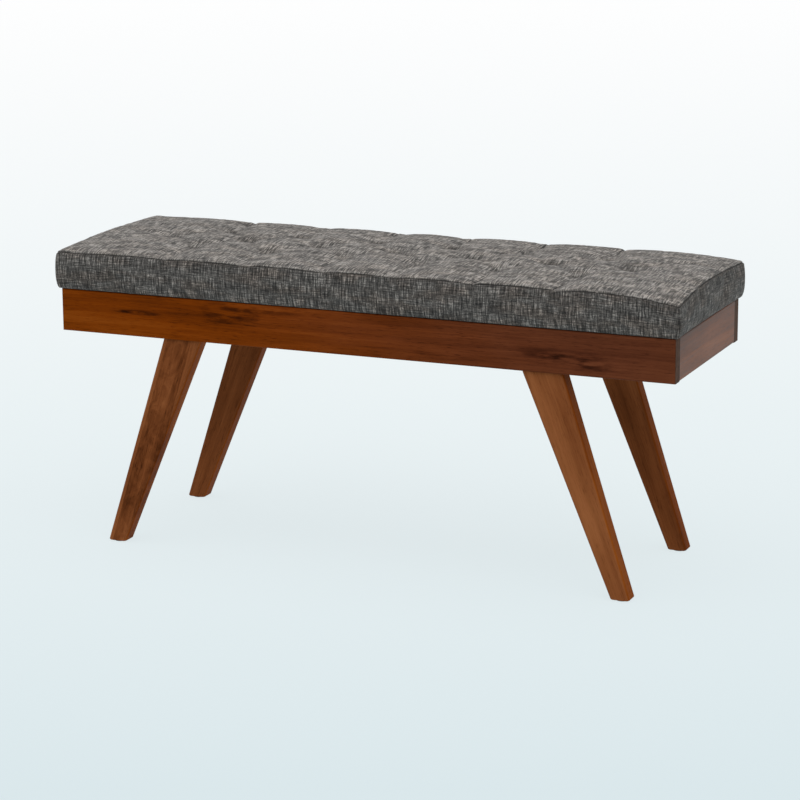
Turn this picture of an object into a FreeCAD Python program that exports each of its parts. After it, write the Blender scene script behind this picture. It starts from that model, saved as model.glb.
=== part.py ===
import FreeCAD
import Part
import Sketcher
import math
import os

# Upholstered bench: splayed legs, a box apron and a diamond-tufted seat
# Millimetres. +X runs along the bench, -Y is its front and +Z is up.
# The origin lies on the floor, under the middle of the bench.

model = FreeCAD.newDocument("upholstered_bench")
sheet = model.addObject("Spreadsheet::Sheet", "size")

driving_sizes = [
    ("apron_length", 1040, "front and back boards from end to end"),
    ("apron_depth", 329, "over the outer faces of the front and back boards"),
    ("apron_height", 69, "width of every apron board"),
    ("apron_top", 420, "top of the apron above the floor"),
    ("board_thick", 22, "thickness of every apron board"),
    ("edge_round", 2.5, "rounding of the apron's outer edges"),
    ("leg_thick", 31.5, "leg from its front to its back face"),
    ("leg_set_back", 5, "leg face behind the apron face"),
    ("leg_head_inset", 213.8, "middle of the leg, at the apron's lower edge, from the apron's end"),
    ("leg_head_width", 67, "leg along the bench at the apron's lower edge"),
    ("leg_foot_inset", 84.5, "middle of the foot from the apron's end"),
    ("leg_foot_width", 31.5, "leg along the bench at its foot"),
    ("leg_round", 6, "rounding of the leg's long edges"),
    ("foot_round", 2, "rounding of the foot's lower edges"),
    ("glide_thick", 2, "glide below the foot"),
    ("glide_diameter", 22, "glide across"),
    ("glide_round", 0.6, "rounding of the glide's lower edge"),
    ("nail_diameter", 2.2, "glide nail shank"),
    ("nail_length", 18, "glide nail shank length"),
    ("nail_head_diameter", 6, "glide nail head"),
    ("nail_head_thick", 0.8, "glide nail head"),
    ("nail_sunk", 0.4, "glide nail head above the floor"),
    ("rail_thick", 22, "cross rail between a pair of legs"),
    ("rail_height", 56, "cross rail"),
    ("rail_lift", 4, "cross rail above the apron's lower edge"),
    ("dowel_diameter", 8, "every dowel"),
    ("dowel_length", 30, "every dowel"),
    ("dowel_in_leg", 10, "depth of a rail dowel in its leg"),
    ("dowel_in_apron", 12, "depth of a corner dowel in the front or back board"),
    ("dowel_margin", 16, "dowel axis from the edges of what it joins"),
    ("bolt_diameter", 8, "leg bolt shank"),
    ("bolt_length", 28, "leg bolt under its head"),
    ("bolt_head_diameter", 14, "leg bolt head"),
    ("bolt_head_height", 4.4, "leg bolt head"),
    ("socket_width", 5, "across the flats of the bolt head's socket"),
    ("socket_depth", 2.4, "socket in the bolt head"),
    ("washer_diameter", 17, "leg bolt washer"),
    ("washer_thick", 1.6, "leg bolt washer"),
    ("insert_diameter", 12, "threaded insert outside"),
    ("insert_length", 14, "threaded insert"),
    ("bolt_side", 15, "bolt axis beside the cross rail"),
    ("bolt_low", 17, "lower bolt above the apron's lower edge"),
    ("bolt_high", 51, "upper bolt above the apron's lower edge"),
    ("screw_diameter", 4, "every wood screw"),
    ("screw_length", 32, "every wood screw under its head"),
    ("screw_head_diameter", 8, "wood screw head"),
    ("screw_head_height", 2.8, "wood screw head"),
    ("screw_grip", 12, "depth of a screw in an apron board"),
    ("cleat_width", 20, "seat cleat from the apron inwards"),
    ("cleat_height", 20, "seat cleat"),
    ("cleat_end_gap", 18, "seat cleat short of the legs at the apron's top"),
    ("cleat_screw_margin", 20, "last cleat screw from the cleat's end"),
    ("block_reach", 62, "corner block along each board"),
    ("block_flat", 12, "flat ends of a corner block"),
    ("block_height", 40, "corner block"),
    ("block_screw_reach", 50, "block screws from the corner"),
    ("block_screw_drop", 28, "block screws below the apron's top"),
    ("block_seat_screw", 24, "seat screw from both boards at a corner"),
    ("fit_gap", 0.1, "radial clearance of a pin or screw in its hole"),
    ("free_gap", 0.25, "radial clearance of a screw through a loose piece"),
    ("hole_extra", 1, "depth of a blind hole past its pin"),
    ("dust_thick", 0.6, "dust cover"),
    ("dust_inset", 6, "dust cover inside the seat's lower outline"),
    ("cover_thick", 1.2, "seat cover fabric"),
    ("hem_width", 55, "cover turned in under the seat board"),
    ("seat_board_thick", 15, "plywood seat board"),
    ("layer_gap", 0.2, "between soft layers"),
    ("wadding_thick", 8, "fibre wadding over the foam"),
    ("seat_end_overhang", 9, "seat's fullest line beyond the apron's ends"),
    ("seat_side_overhang", 6.5, "seat's fullest line beyond the apron's front and back faces"),
    ("corner_round", 16, "seat corners in plan"),
    ("side_draw_in", 2, "middle of each side drawn in, in plan"),
    ("bottom_tuck", 4.5, "lower outline inside the fullest line"),
    ("seam_tuck", 2.5, "seam inside the fullest line"),
    ("bulge_height", 29, "fullest line above the seat's underside"),
    ("crown_height", 69.4, "crown above the seat's underside"),
    ("side_fall", 7, "crown down to the front and back seams"),
    ("end_fall", 8, "crown down to the end seams"),
    ("corner_fall", 5, "further fall at the corners"),
    ("tuft_pitch", 132, "between the tufts of a row"),
    ("tuft_rows", 70, "front and back tuft rows from the middle"),
    ("tuft_end_margin", 120, "least length without tufts at each end"),
    ("tuft_depth", 8, "tuft below the crown"),
    ("tuft_half_width", 2, "half of a tuft's floor"),
    ("crease_depth", 3.6, "diagonal crease below the crown"),
    ("seam_crease_depth", 3, "crease from a tuft to the seam"),
    ("seam_dip", 1.5, "seam where a crease meets it"),
    ("twine_diameter", 1.4, "tufting twine"),
    ("twine_hole", 5, "hole for a twine in the seat board"),
    ("anchor_diameter", 14, "washer at a twine's lower end"),
    ("staple_wire", 0.7, "staple"),
    ("staple_width", 10, "staple crown"),
    ("staple_leg", 8, "staple leg"),
    ("staple_pitch", 60, "between the staples of a row"),
    ("staple_edge", 5.5, "staple row from the hem's inner edge"),
    ("staple_margin", 11, "last staple from a corner block"),
]

for row, (alias, amount, meaning) in enumerate(driving_sizes, start=1):
    sheet.set("A%d" % row, meaning)
    sheet.set("B%d" % row, str(amount))
    sheet.setAlias("B%d" % row, alias)
model.recompute()


# Formulas shared by several pieces, as text for setExpression
half_length = "(size.apron_length / 2)"
half_depth = "(size.apron_depth / 2)"
inside_x = "(size.apron_length / 2 - size.board_thick)"
inside_y = "(size.apron_depth / 2 - size.board_thick)"
apron_bottom = "(size.apron_top - size.apron_height)"
leg_middle = "(size.apron_depth / 2 - size.leg_set_back - size.leg_thick / 2)"
leg_inside = "(size.apron_depth / 2 - size.leg_set_back - size.leg_thick)"
leg_length = f"({apron_bottom} - size.glide_thick)"
leg_head_x = f"({half_length} - size.leg_head_inset)"
leg_foot_x = f"({half_length} - size.leg_foot_inset)"
leg_lean = f"((size.leg_head_inset - size.leg_foot_inset) / {leg_length})"
leg_taper = f"((size.leg_head_width - size.leg_foot_width) / {leg_length})"
head_x = f"({leg_head_x} - {leg_lean} * size.apron_height)"
head_width = f"(size.leg_head_width + {leg_taper} * size.apron_height)"
rail_x = f"({leg_head_x} - {leg_lean} * size.apron_height / 2)"
rail_bottom = f"({apron_bottom} + size.rail_lift)"
outer_bolt_x = f"({rail_x} + size.rail_thick / 2 + size.bolt_side)"
inner_bolt_x = f"({rail_x} - size.rail_thick / 2 - size.bolt_side)"
low_bolt_z = f"({apron_bottom} + size.bolt_low)"
high_bolt_z = f"({apron_bottom} + size.bolt_high)"
corner_dowel_x = "(size.apron_length / 2 - size.board_thick / 2)"
low_dowel_z = f"({apron_bottom} + size.dowel_margin)"
high_dowel_z = "(size.apron_top - size.dowel_margin)"
low_rail_dowel_z = f"({rail_bottom} + size.dowel_margin)"
high_rail_dowel_z = f"({rail_bottom} + size.rail_height - size.dowel_margin)"
cleat_half = f"({head_x} - {head_width} / 2 - size.cleat_end_gap)"
cleat_side_near = f"({cleat_half} / 4)"
cleat_side_far = f"({cleat_half} - size.cleat_screw_margin)"
cleat_seat_x = f"({cleat_half} * 3 / 4)"
cleat_y = f"({inside_y} - size.cleat_width / 2)"
cleat_z = "(size.apron_top - size.cleat_height / 2)"
block_screw_z = "(size.apron_top - size.block_screw_drop)"
seat_screw_head_z = "(size.apron_top - size.cleat_height)"
dowel_hole = "(size.dowel_diameter + 2 * size.fit_gap)"
pilot_hole = "(size.screw_diameter + 2 * size.fit_gap)"
free_hole = "(size.screw_diameter + 2 * size.free_gap)"
seat_bottom = "(size.apron_top + size.dust_thick)"
board_bottom = f"({seat_bottom} + size.cover_thick)"
board_top = f"({board_bottom} + size.seat_board_thick)"
board_inset = "(size.bottom_tuck + size.side_draw_in + size.cover_thick + size.fit_gap)"
cushion_half_x = f"({half_length} + size.seat_end_overhang)"
cushion_half_y = f"({half_depth} + size.seat_side_overhang)"
board_half_x = f"({cushion_half_x} - {board_inset})"
board_half_y = f"({cushion_half_y} - {board_inset})"


# Helpers for sketches, solids and groups

def number(text):
    return float(sheet.evalExpression(text))


def new_body(label):
    return model.addObject("PartDesign::Body", label)


def sketch_on(body, role, name, offset="0"):
    drawing = body.newObject("Sketcher::SketchObject", name)
    drawing.AttachmentSupport = [(next(p for p in body.Origin.OriginFeatures if p.Role == role), "")]
    drawing.MapMode = "FlatFace"
    drawing.setExpression("AttachmentOffset.Base.z", offset)
    return drawing


def tie(drawing, kind, geometry, point, text):
    if kind in ("DistanceX", "DistanceY"):
        rule = Sketcher.Constraint(kind, -1, 1, geometry, point, number(text))
    else:
        rule = Sketcher.Constraint(kind, geometry, number(text))
    drawing.setExpression("Constraints[%d]" % drawing.addConstraint(rule), text)


def draw_outline(drawing, corners):
    points = [FreeCAD.Vector(number(across), number(up), 0) for across, up in corners]
    for here, point in enumerate(points):
        drawing.addGeometry(Part.LineSegment(point, points[(here + 1) % len(points)]), False)
    for here in range(len(points)):
        drawing.addConstraint(Sketcher.Constraint("Coincident", here, 2, (here + 1) % len(points), 1))
    for here, (across, up) in enumerate(corners):
        tie(drawing, "DistanceX", here, 1, across)
        tie(drawing, "DistanceY", here, 1, up)


def draw_rectangle(drawing, left, right, low, high):
    draw_outline(drawing, [(left, low), (right, low), (right, high), (left, high)])


def draw_circles(drawing, diameter, centres):
    for across, up in centres:
        middle = FreeCAD.Vector(number(across), number(up), 0)
        ring = drawing.addGeometry(Part.Circle(middle, FreeCAD.Vector(0, 0, 1), number(diameter) / 2), False)
        tie(drawing, "DistanceX", ring, 3, across)
        tie(drawing, "DistanceY", ring, 3, up)
        tie(drawing, "Diameter", ring, 0, diameter)


def pad(body, drawing, length, middle=False):
    block = body.newObject("PartDesign::Pad", drawing.Name + "_pad")
    block.Profile = drawing
    block.setExpression("Length", length)
    block.Midplane = middle
    model.recompute()
    return block


def drill(body, role, name, diameter, depth, offset, centres, along_normal=False):
    # Round holes from a plane, against its normal unless along_normal is set
    drawing = sketch_on(body, role, name, offset)
    draw_circles(drawing, diameter, centres)
    holes = body.newObject("PartDesign::Pocket", name + "_cut")
    holes.Profile = drawing
    holes.setExpression("Length", depth)
    holes.Reversed = along_normal
    model.recompute()
    return holes


def round_edges(body, name, radius, chosen):
    base = body.Tip
    names = ["Edge%d" % count for count, edge in enumerate(base.Shape.Edges, start=1) if chosen(edge)]
    rounding = body.newObject("PartDesign::Fillet", name)
    rounding.Base = (base, names)
    rounding.setExpression("Radius", radius)
    model.recompute()
    return rounding


def place(body, x="0", y="0", z="0", turn="0"):
    body.Placement = FreeCAD.Placement(FreeCAD.Vector(), FreeCAD.Rotation(FreeCAD.Vector(0, 0, 1), 0))
    body.setExpression("Placement.Base.x", x)
    body.setExpression("Placement.Base.y", y)
    body.setExpression("Placement.Base.z", z)
    body.setExpression("Placement.Rotation.Angle", turn)


def mirrored(*positives):
    return [position for positive in positives for position in (positive, f"(-{positive})")]


def every(xs, zs):
    return [(x, z) for x in xs for z in zs]


def near(value, text):
    return abs(value - number(text)) < 0.001


def spot(x, y, z, axis=(0, 0, 1)):
    # A place for a copy whose own +Z then points along axis
    turn = FreeCAD.Rotation(FreeCAD.Vector(0, 0, 1), FreeCAD.Vector(*axis))
    return FreeCAD.Placement(FreeCAD.Vector(x, y, z), turn)


def feature(label, shape):
    piece = model.addObject("Part::Feature", label)
    piece.Shape = shape
    return piece


def copies(master, places):
    return Part.makeCompound([master.transformed(where.toMatrix(), True) for where in places])


def rods(diameter, length, places):
    return copies(Part.makeCylinder(diameter / 2, length), places)


# Apron boards. Front and back run full length, and the ends fit between them.

def long_apron(label, turn):
    body = new_body(label)
    drawing = sketch_on(body, "XZ_Plane", label + "_face", f"{half_depth} - size.board_thick / 2")
    draw_rectangle(drawing, f"-{half_length}", half_length, apron_bottom, "size.apron_top")
    pad(body, drawing, "size.board_thick", middle=True)
    round_edges(body, label + "_edges", "size.edge_round",
                lambda edge: near(edge.CenterOfMass.y, f"-{half_depth}"))
    drill(body, "XZ_Plane", label + "_insert_holes", "size.insert_diameter + 2 * size.fit_gap",
          "size.insert_length + size.hole_extra", inside_y,
          every(mirrored(outer_bolt_x), [low_bolt_z]) + every(mirrored(inner_bolt_x), [high_bolt_z]), True)
    drill(body, "XZ_Plane", label + "_dowel_holes", dowel_hole,
          "size.dowel_in_apron + size.hole_extra / 2", inside_y,
          every(mirrored(corner_dowel_x), [low_dowel_z, high_dowel_z]), True)
    screws = every(mirrored(cleat_side_near, cleat_side_far), [cleat_z])
    screws += every(mirrored(f"({inside_x} - size.block_screw_reach)"), [block_screw_z])
    drill(body, "XZ_Plane", label + "_screw_holes", pilot_hole,
          "size.screw_grip + size.hole_extra", inside_y, screws, True)
    place(body, turn=turn)
    return body


def end_apron(label, turn):
    body = new_body(label)
    drawing = sketch_on(body, "YZ_Plane", label + "_face", corner_dowel_x)
    draw_rectangle(drawing, f"-{inside_y}", inside_y, apron_bottom, "size.apron_top")
    pad(body, drawing, "size.board_thick", middle=True)
    round_edges(body, label + "_edges", "size.edge_round",
                lambda edge: near(edge.CenterOfMass.x, half_length) and near(edge.CenterOfMass.y, "0"))
    for name, offset, along_normal in (("front", inside_y, False), ("back", f"-{inside_y}", True)):
        drill(body, "XZ_Plane", f"{label}_{name}_dowel_holes", dowel_hole,
              "size.dowel_length - size.dowel_in_apron + size.hole_extra / 2", offset,
              every([corner_dowel_x], [low_dowel_z, high_dowel_z]), along_normal)
    drill(body, "YZ_Plane", label + "_screw_holes", pilot_hole,
          "size.screw_grip + size.hole_extra", inside_x,
          every(mirrored(f"({inside_y} - size.block_screw_reach)"), [block_screw_z]), True)
    place(body, turn=turn)
    return body


# Legs. Flat-sided, tapered, leaning outwards; the head is cut back to lap behind the apron.
# outside is -1 where the leg's outer face is at local -Y and 1 where it is at local +Y.

def leg(label, outside, turn):
    body = new_body(label)
    drawing = sketch_on(body, "XZ_Plane", label + "_side")
    draw_outline(drawing, [
        (f"{leg_foot_x} - size.leg_foot_width / 2", "size.glide_thick"),
        (f"{leg_foot_x} + size.leg_foot_width / 2", "size.glide_thick"),
        (f"{head_x} + {head_width} / 2", "size.apron_top"),
        (f"{head_x} - {head_width} / 2", "size.apron_top")])
    pad(body, drawing, "size.leg_thick", middle=True)
    round_edges(body, label + "_long_edges", "size.leg_round",
                lambda edge: edge.BoundBox.ZLength > number(leg_length) / 2)
    round_edges(body, label + "_foot_edges", "size.foot_round",
                lambda edge: edge.BoundBox.ZMax < number("size.glide_thick") + 0.001)

    lap = body.newObject("PartDesign::Pocket", label + "_lap")
    drawing = sketch_on(body, "XY_Plane", label + "_lap_plan", apron_bottom)
    step = "(size.leg_thick / 2 - (size.board_thick - size.leg_set_back))"
    sides = sorted([f"{outside} * {step}", f"{outside} * size.leg_thick"], key=number)
    draw_rectangle(drawing, "0", half_length, sides[0], sides[1])
    lap.Profile = drawing
    lap.setExpression("Length", "2 * size.apron_height")
    lap.Reversed = True
    model.recompute()

    # Bolt and dowel holes start at the lap's inner face and run towards the apron board.
    # The sketch plane's normal is -Y.
    drill(body, "XZ_Plane", label + "_bolt_holes", "size.bolt_diameter + 2 * size.free_gap",
          "size.leg_thick", f"{outside} * size.leg_thick / 2",
          [(outer_bolt_x, low_bolt_z), (inner_bolt_x, high_bolt_z)], outside < 0)
    drill(body, "XZ_Plane", label + "_dowel_holes", dowel_hole,
          "size.dowel_in_leg + size.hole_extra / 2", f"{outside} * size.leg_thick / 2",
          every([rail_x], [low_rail_dowel_z, high_rail_dowel_z]), outside < 0)
    drill(body, "XY_Plane", label + "_nail_hole", "size.nail_diameter + 2 * size.fit_gap",
          "size.nail_length + size.hole_extra", "size.glide_thick",
          [(leg_foot_x, "0")], True)
    side = outside if turn == "0" else -outside
    place(body, y=f"{side} * {leg_middle}", turn=turn)
    return body


# Cross rails tie the two legs of each end together behind the end aprons.

def leg_rail(label, turn):
    body = new_body(label)
    drawing = sketch_on(body, "XZ_Plane", label + "_section")
    draw_rectangle(drawing, f"{rail_x} - size.rail_thick / 2", f"{rail_x} + size.rail_thick / 2",
                   rail_bottom, f"{rail_bottom} + size.rail_height")
    pad(body, drawing, f"2 * {leg_inside}", middle=True)
    for name, offset, along_normal in (("front", leg_inside, False), ("back", f"-{leg_inside}", True)):
        drill(body, "XZ_Plane", f"{label}_{name}_dowel_holes", dowel_hole,
              "size.dowel_length - size.dowel_in_leg + size.hole_extra / 2", offset,
              every([rail_x], [low_rail_dowel_z, high_rail_dowel_z]), along_normal)
    place(body, turn=turn)
    return body


# Seat cleats along the long boards, and corner blocks, all level with the apron's top.

def seat_cleat(label, turn):
    body = new_body(label)
    drawing = sketch_on(body, "XY_Plane", label + "_plan", seat_screw_head_z)
    draw_rectangle(drawing, f"-{cleat_half}", cleat_half, f"-{inside_y}", f"-{inside_y} + size.cleat_width")
    pad(body, drawing, "size.cleat_height")
    drill(body, "XZ_Plane", label + "_side_holes", free_hole, "size.cleat_width",
          f"{inside_y} - size.cleat_width",
          every(mirrored(cleat_side_near, cleat_side_far), [cleat_z]), True)
    drill(body, "XY_Plane", label + "_seat_holes", free_hole, "size.cleat_height", "size.apron_top",
          every(["0"] + mirrored(cleat_seat_x), [f"(-{cleat_y})"]))
    place(body, turn=turn)
    return body


def corner_block(label, x, y, turn):
    # Local origin at the frame's inner corner, with both boards along the local axes
    body = new_body(label)
    low = "size.apron_top - size.block_height"
    drawing = sketch_on(body, "XY_Plane", label + "_plan", low)
    draw_outline(drawing, [("0", "0"), ("size.block_reach", "0"), ("size.block_reach", "size.block_flat"),
                           ("size.block_flat", "size.block_reach"), ("0", "size.block_reach")])
    pad(body, drawing, "size.block_height")
    seat = "(size.screw_length - size.screw_grip)"
    head_hole = "size.screw_head_diameter + 2 * size.free_gap"
    screw = [("size.block_screw_reach", block_screw_z)]
    drill(body, "XZ_Plane", label + "_long_screw_hole", free_hole, seat, f"-{seat}", screw, True)
    drill(body, "XZ_Plane", label + "_long_head_hole", head_hole, "size.block_reach", f"-{seat}", screw)
    drill(body, "YZ_Plane", label + "_end_screw_hole", free_hole, seat, seat, screw)
    drill(body, "YZ_Plane", label + "_end_head_hole", head_hole, "size.block_reach", seat, screw, True)
    upright = [("size.block_seat_screw", "size.block_seat_screw")]
    drill(body, "XY_Plane", label + "_seat_screw_hole", free_hole, "size.block_height",
          "size.apron_top", upright)
    drill(body, "XY_Plane", label + "_seat_head_hole", head_hole,
          "size.block_height - size.cleat_height", seat_screw_head_z, upright)
    place(body, x, y, "0", turn)
    return body


# Glides: a plastic disc under each foot, held by one nail with its head let in

def glide(label, x_side, y_side):
    body = new_body(label)
    drawing = sketch_on(body, "XY_Plane", label + "_plan")
    draw_circles(drawing, "size.glide_diameter", [("0", "0")])
    pad(body, drawing, "size.glide_thick")
    round_edges(body, label + "_edge", "size.glide_round", lambda edge: near(edge.CenterOfMass.z, "0"))
    drill(body, "XY_Plane", label + "_head_hole", "size.nail_head_diameter + 2 * size.fit_gap",
          "size.nail_sunk + size.nail_head_thick", "0", [("0", "0")], True)
    drill(body, "XY_Plane", label + "_nail_hole", "size.nail_diameter + 2 * size.fit_gap",
          "size.glide_thick", "0", [("0", "0")], True)
    place(body, f"{x_side} * {leg_foot_x}", f"{y_side} * {leg_middle}")
    return body


# Turned fasteners, drawn once each: own +Z runs from the head along the shank

def turned(name, profile):
    body = new_body(name)
    drawing = sketch_on(body, "XZ_Plane", name + "_profile")
    draw_outline(drawing, profile)
    spin = body.newObject("PartDesign::Revolution", name + "_turn")
    spin.Profile = drawing
    spin.ReferenceAxis = (drawing, ["V_Axis"])
    spin.Angle = 360
    model.recompute()
    return body


def pointed_profile(shank, length, head, height, crown):
    # Head below zero with a bevelled crown, shank above it and a point as long as it is thick
    return [("0", f"-{height}"), (f"{head} / 2 - {crown}", f"-{height}"),
            (f"{head} / 2", f"-{height} + {crown}"), (f"{head} / 2", "0"), (f"{shank} / 2", "0"),
            (f"{shank} / 2", f"{length} - {shank}"), ("0", length)]


def leg_bolt():
    body = turned("leg_bolt_master", [
        ("0", "-size.bolt_head_height"), ("size.bolt_head_diameter / 4", "-size.bolt_head_height"),
        ("size.bolt_head_diameter / 2", "-size.bolt_head_height / 3"), ("size.bolt_head_diameter / 2", "0"),
        ("size.bolt_diameter / 2", "0"), ("size.bolt_diameter / 2", "size.bolt_length"),
        ("0", "size.bolt_length")])
    drawing = sketch_on(body, "XY_Plane", "bolt_socket", "-size.bolt_head_height")
    radius = "size.socket_width / 2 / cos(30)"
    turns = [60 * side for side in range(6)]
    draw_outline(drawing, [(f"{radius} * cos({turn})", f"{radius} * sin({turn})") for turn in turns])
    socket = body.newObject("PartDesign::Pocket", "bolt_socket_cut")
    socket.Profile = drawing
    socket.setExpression("Length", "size.socket_depth")
    socket.Reversed = True
    model.recompute()
    return body


def disc(name, outside, length, bore=None):
    body = new_body(name)
    drawing = sketch_on(body, "XY_Plane", name + "_plan")
    draw_circles(drawing, outside, [("0", "0")])
    if bore:
        draw_circles(drawing, bore, [("0", "0")])
    pad(body, drawing, length)
    return body


# Seat board, with a hole for each twine and blind holes for the seat screws

tuft_pitches = int(number(f"2 * ({cushion_half_x} - size.tuft_end_margin) / size.tuft_pitch"))


def tuft_places():
    # Counted in half pitches from the middle of the seat
    middle = [f"({count} * size.tuft_pitch / 2)" for count in range(-tuft_pitches, tuft_pitches + 1, 2)]
    beside = [f"({count} * size.tuft_pitch / 2)" for count in range(1 - tuft_pitches, tuft_pitches, 2)]
    return every(middle, ["0"]) + every(beside, ["(-size.tuft_rows)", "size.tuft_rows"])


def seat_screw_places():
    cleats = every(["0"] + mirrored(cleat_seat_x), mirrored(cleat_y))
    blocks = every(mirrored(f"({inside_x} - size.block_seat_screw)"),
                   mirrored(f"({inside_y} - size.block_seat_screw)"))
    return cleats + blocks


def seat_plate(name, half_x, half_y, corner, bottom, thick):
    body = new_body(name)
    drawing = sketch_on(body, "XY_Plane", name + "_plan", bottom)
    draw_rectangle(drawing, f"-{half_x}", half_x, f"-{half_y}", half_y)
    pad(body, drawing, thick)
    round_edges(body, name + "_corners", corner, lambda edge: near(edge.BoundBox.ZLength, thick))
    return body


# Seat forms. Each layer of the seat is cut from the same two shapes:
# a body with bulging, drawn-in sides, and a crowned and tufted top.

def s(alias):
    return number("size." + alias)


cushion_bottom = number(seat_bottom)
half_seat_x = number(cushion_half_x)
half_seat_y = number(cushion_half_y)
half_pitch = s("tuft_pitch") / 2
last_tuft_x = half_pitch * tuft_pitches
crown_z = cushion_bottom + s("crown_height")


def plan_outline(inset, height):
    # Four corner arcs joined by long arcs, whose middles are drawn in
    x = half_seat_x - inset
    y = half_seat_y - inset
    corner = s("corner_round")
    pull = s("side_draw_in")
    near_x = x - corner
    near_y = y - corner
    slant = corner * math.sqrt(0.5)
    edges = []
    points = [(near_x, -y), (near_x + slant, -near_y - slant), (x, -near_y), (x - pull, 0),
              (x, near_y), (near_x + slant, near_y + slant), (near_x, y), (0, y - pull),
              (-near_x, y), (-near_x - slant, near_y + slant), (-x, near_y), (pull - x, 0),
              (-x, -near_y), (-near_x - slant, -near_y - slant), (-near_x, -y), (0, pull - y)]
    for start in range(0, len(points), 2):
        arc = [FreeCAD.Vector(*points[(start + step) % len(points)], height) for step in range(3)]
        edges.append(Part.Arc(*arc).toShape())
    return Part.Wire(edges)


def seat_sides(inset):
    # Outline after outline up the seat: tucked in at the base, full at the bulge, in again at the seam
    full = cushion_bottom + s("bulge_height")
    top = crown_z + s("bottom_tuck")
    outlines = []
    for step in range(-3, 4):
        share = abs(step) / 3
        if step < 0:
            height = full - share * s("bulge_height")
            tuck = s("bottom_tuck") * share ** 3
        else:
            height = full + share * (top - full)
            tuck = s("seam_tuck") * share ** 2
        outlines.append(plan_outline(inset + tuck, height))
    return Part.makeLoft(outlines, True, False)


def crown_at(x, y):
    # Height of the pillows' crests: falls towards the long sides, the ends and the corners
    across = abs(y) / half_seat_y
    beyond = max(0, (abs(x) - last_tuft_x) / (half_seat_x - last_tuft_x))
    fall = s("side_fall") * across ** 2 + s("end_fall") * beyond ** 2
    return crown_z - fall - s("corner_fall") * beyond ** 2 * across ** 2


def top_section(x):
    # One slice across the seat: a front pillow, a middle pillow and a back pillow over a flat base.
    # ridge is 0 on a column with front and back tufts and 1 on a column with a middle tuft.
    beyond = max(0, (abs(x) - last_tuft_x) / (half_seat_x - last_tuft_x))
    if beyond > 0:
        ridge = 1
        join = s("tuft_half_width") + (s("tuft_rows") - s("tuft_half_width")) * beyond
        sink = s("tuft_depth") * (1 - beyond) ** 2 if beyond < 1 else 0
        middle_sink = sink ** 2 / s("tuft_depth")
    else:
        phase = ((last_tuft_x - abs(x)) / half_pitch) % 2
        ridge = abs(1 - phase)
        join = s("tuft_rows") + (s("tuft_half_width") - s("tuft_rows")) * ridge
        at_tuft = abs(1 - 2 * ridge) ** 3
        sink = s("crease_depth") + (s("tuft_depth") - s("crease_depth")) * at_tuft
        middle_sink = s("tuft_depth") * ridge ** 4
    valley = (1 - ridge) ** 2
    side = half_seat_y + s("cover_thick")
    low = 0
    side_z = crown_at(x, half_seat_y) - s("seam_dip") * valley
    join_z = crown_at(x, join) - sink
    pillow_y = (side + join) / 2
    pillow_z = crown_at(x, pillow_y) - s("seam_crease_depth") * valley
    middle_z = max(crown_at(x, 0) - middle_sink, join_z + s("tuft_half_width") / 10)
    points = [(-side, side_z), (-pillow_y, pillow_z), (-join, join_z), (0, middle_z),
              (join, join_z), (pillow_y, pillow_z), (side, side_z)]
    points = [FreeCAD.Vector(x, y, z) for y, z in points]
    foot = [FreeCAD.Vector(x, side, low), FreeCAD.Vector(x, -side, low)]
    edges = [Part.Arc(*points[start:start + 3]).toShape() for start in (0, 2, 4)]
    edges += [Part.LineSegment(points[6], foot[0]).toShape(), Part.LineSegment(foot[0], foot[1]).toShape(),
              Part.LineSegment(foot[1], points[0]).toShape()]
    return Part.Wire(edges)


def seat_top():
    # Slices at thirds of each half pitch, then a few out past the ends
    inner = [half_pitch * third / 3 for third in range(-3 * tuft_pitches, 3 * tuft_pitches + 1)]
    rest = half_seat_x - last_tuft_x
    outer = [last_tuft_x + rest * share for share in (0.25, 0.5, 0.75, 1, 1.1)]
    stations = [-x for x in reversed(outer)] + inner + outer
    return Part.makeLoft([top_section(x) for x in stations], True, True)


top_form = seat_top()
lowered = {}


def top_down(drop):
    # The crowned top, lowered by what lies above
    if drop not in lowered:
        lowered[drop] = top_form.copy()
        lowered[drop].translate(FreeCAD.Vector(0, 0, -drop))
    return lowered[drop]


def slab(half_x, half_y, low, high):
    corner = FreeCAD.Vector(-half_x, -half_y, low)
    return Part.makeBox(2 * half_x, 2 * half_y, high - low, corner)


def above(height):
    return slab(2 * half_seat_x, 2 * half_seat_y, height, 2 * crown_z)


def one_solid(shape):
    return max(shape.Solids, key=lambda solid: solid.Volume)


def corner_sector(side):
    # Region of the plan that belongs to one boxing panel: its corners are split at 45 degrees
    peak_x = half_seat_x - half_seat_y
    plan = [(-2 * half_seat_y - peak_x, -2 * half_seat_y), (2 * half_seat_y + peak_x, -2 * half_seat_y),
            (peak_x, 0), (-peak_x, 0)]
    if side in ("left", "right"):
        plan = [plan[1], (plan[1][0], -plan[1][1]), plan[2]]
    points = [FreeCAD.Vector(x, y, 0) for x, y in plan]
    sector = Part.Face(Part.makePolygon(points + points[:1])).extrude(FreeCAD.Vector(0, 0, 2 * crown_z))
    if side in ("back", "left"):
        sector.rotate(FreeCAD.Vector(), FreeCAD.Vector(0, 0, 1), 180)
    return sector


outer_form = seat_sides(0)
inner_form = seat_sides(s("cover_thick"))
filling_form = seat_sides(s("cover_thick") + s("layer_gap"))
cover_top = s("cover_thick")
wadding_top = s("cover_thick") + s("layer_gap")
foam_top = wadding_top + s("wadding_thick")
board_low = number(board_bottom)
board_high = number(board_top)

tuft_xy = [(number(x), number(y)) for x, y in tuft_places()]
hem_x = half_seat_x - s("bottom_tuck") - s("hem_width")
hem_y = half_seat_y - s("bottom_tuck") - s("hem_width")


def top_panel():
    return one_solid(outer_form.common(top_form).cut(top_down(cover_top)))


def boxing_ring():
    walls = outer_form.common(top_down(cover_top))
    filled = inner_form.common(above(board_low))
    return walls.cut(filled).cut(slab(hem_x, hem_y, 0, crown_z))


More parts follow.
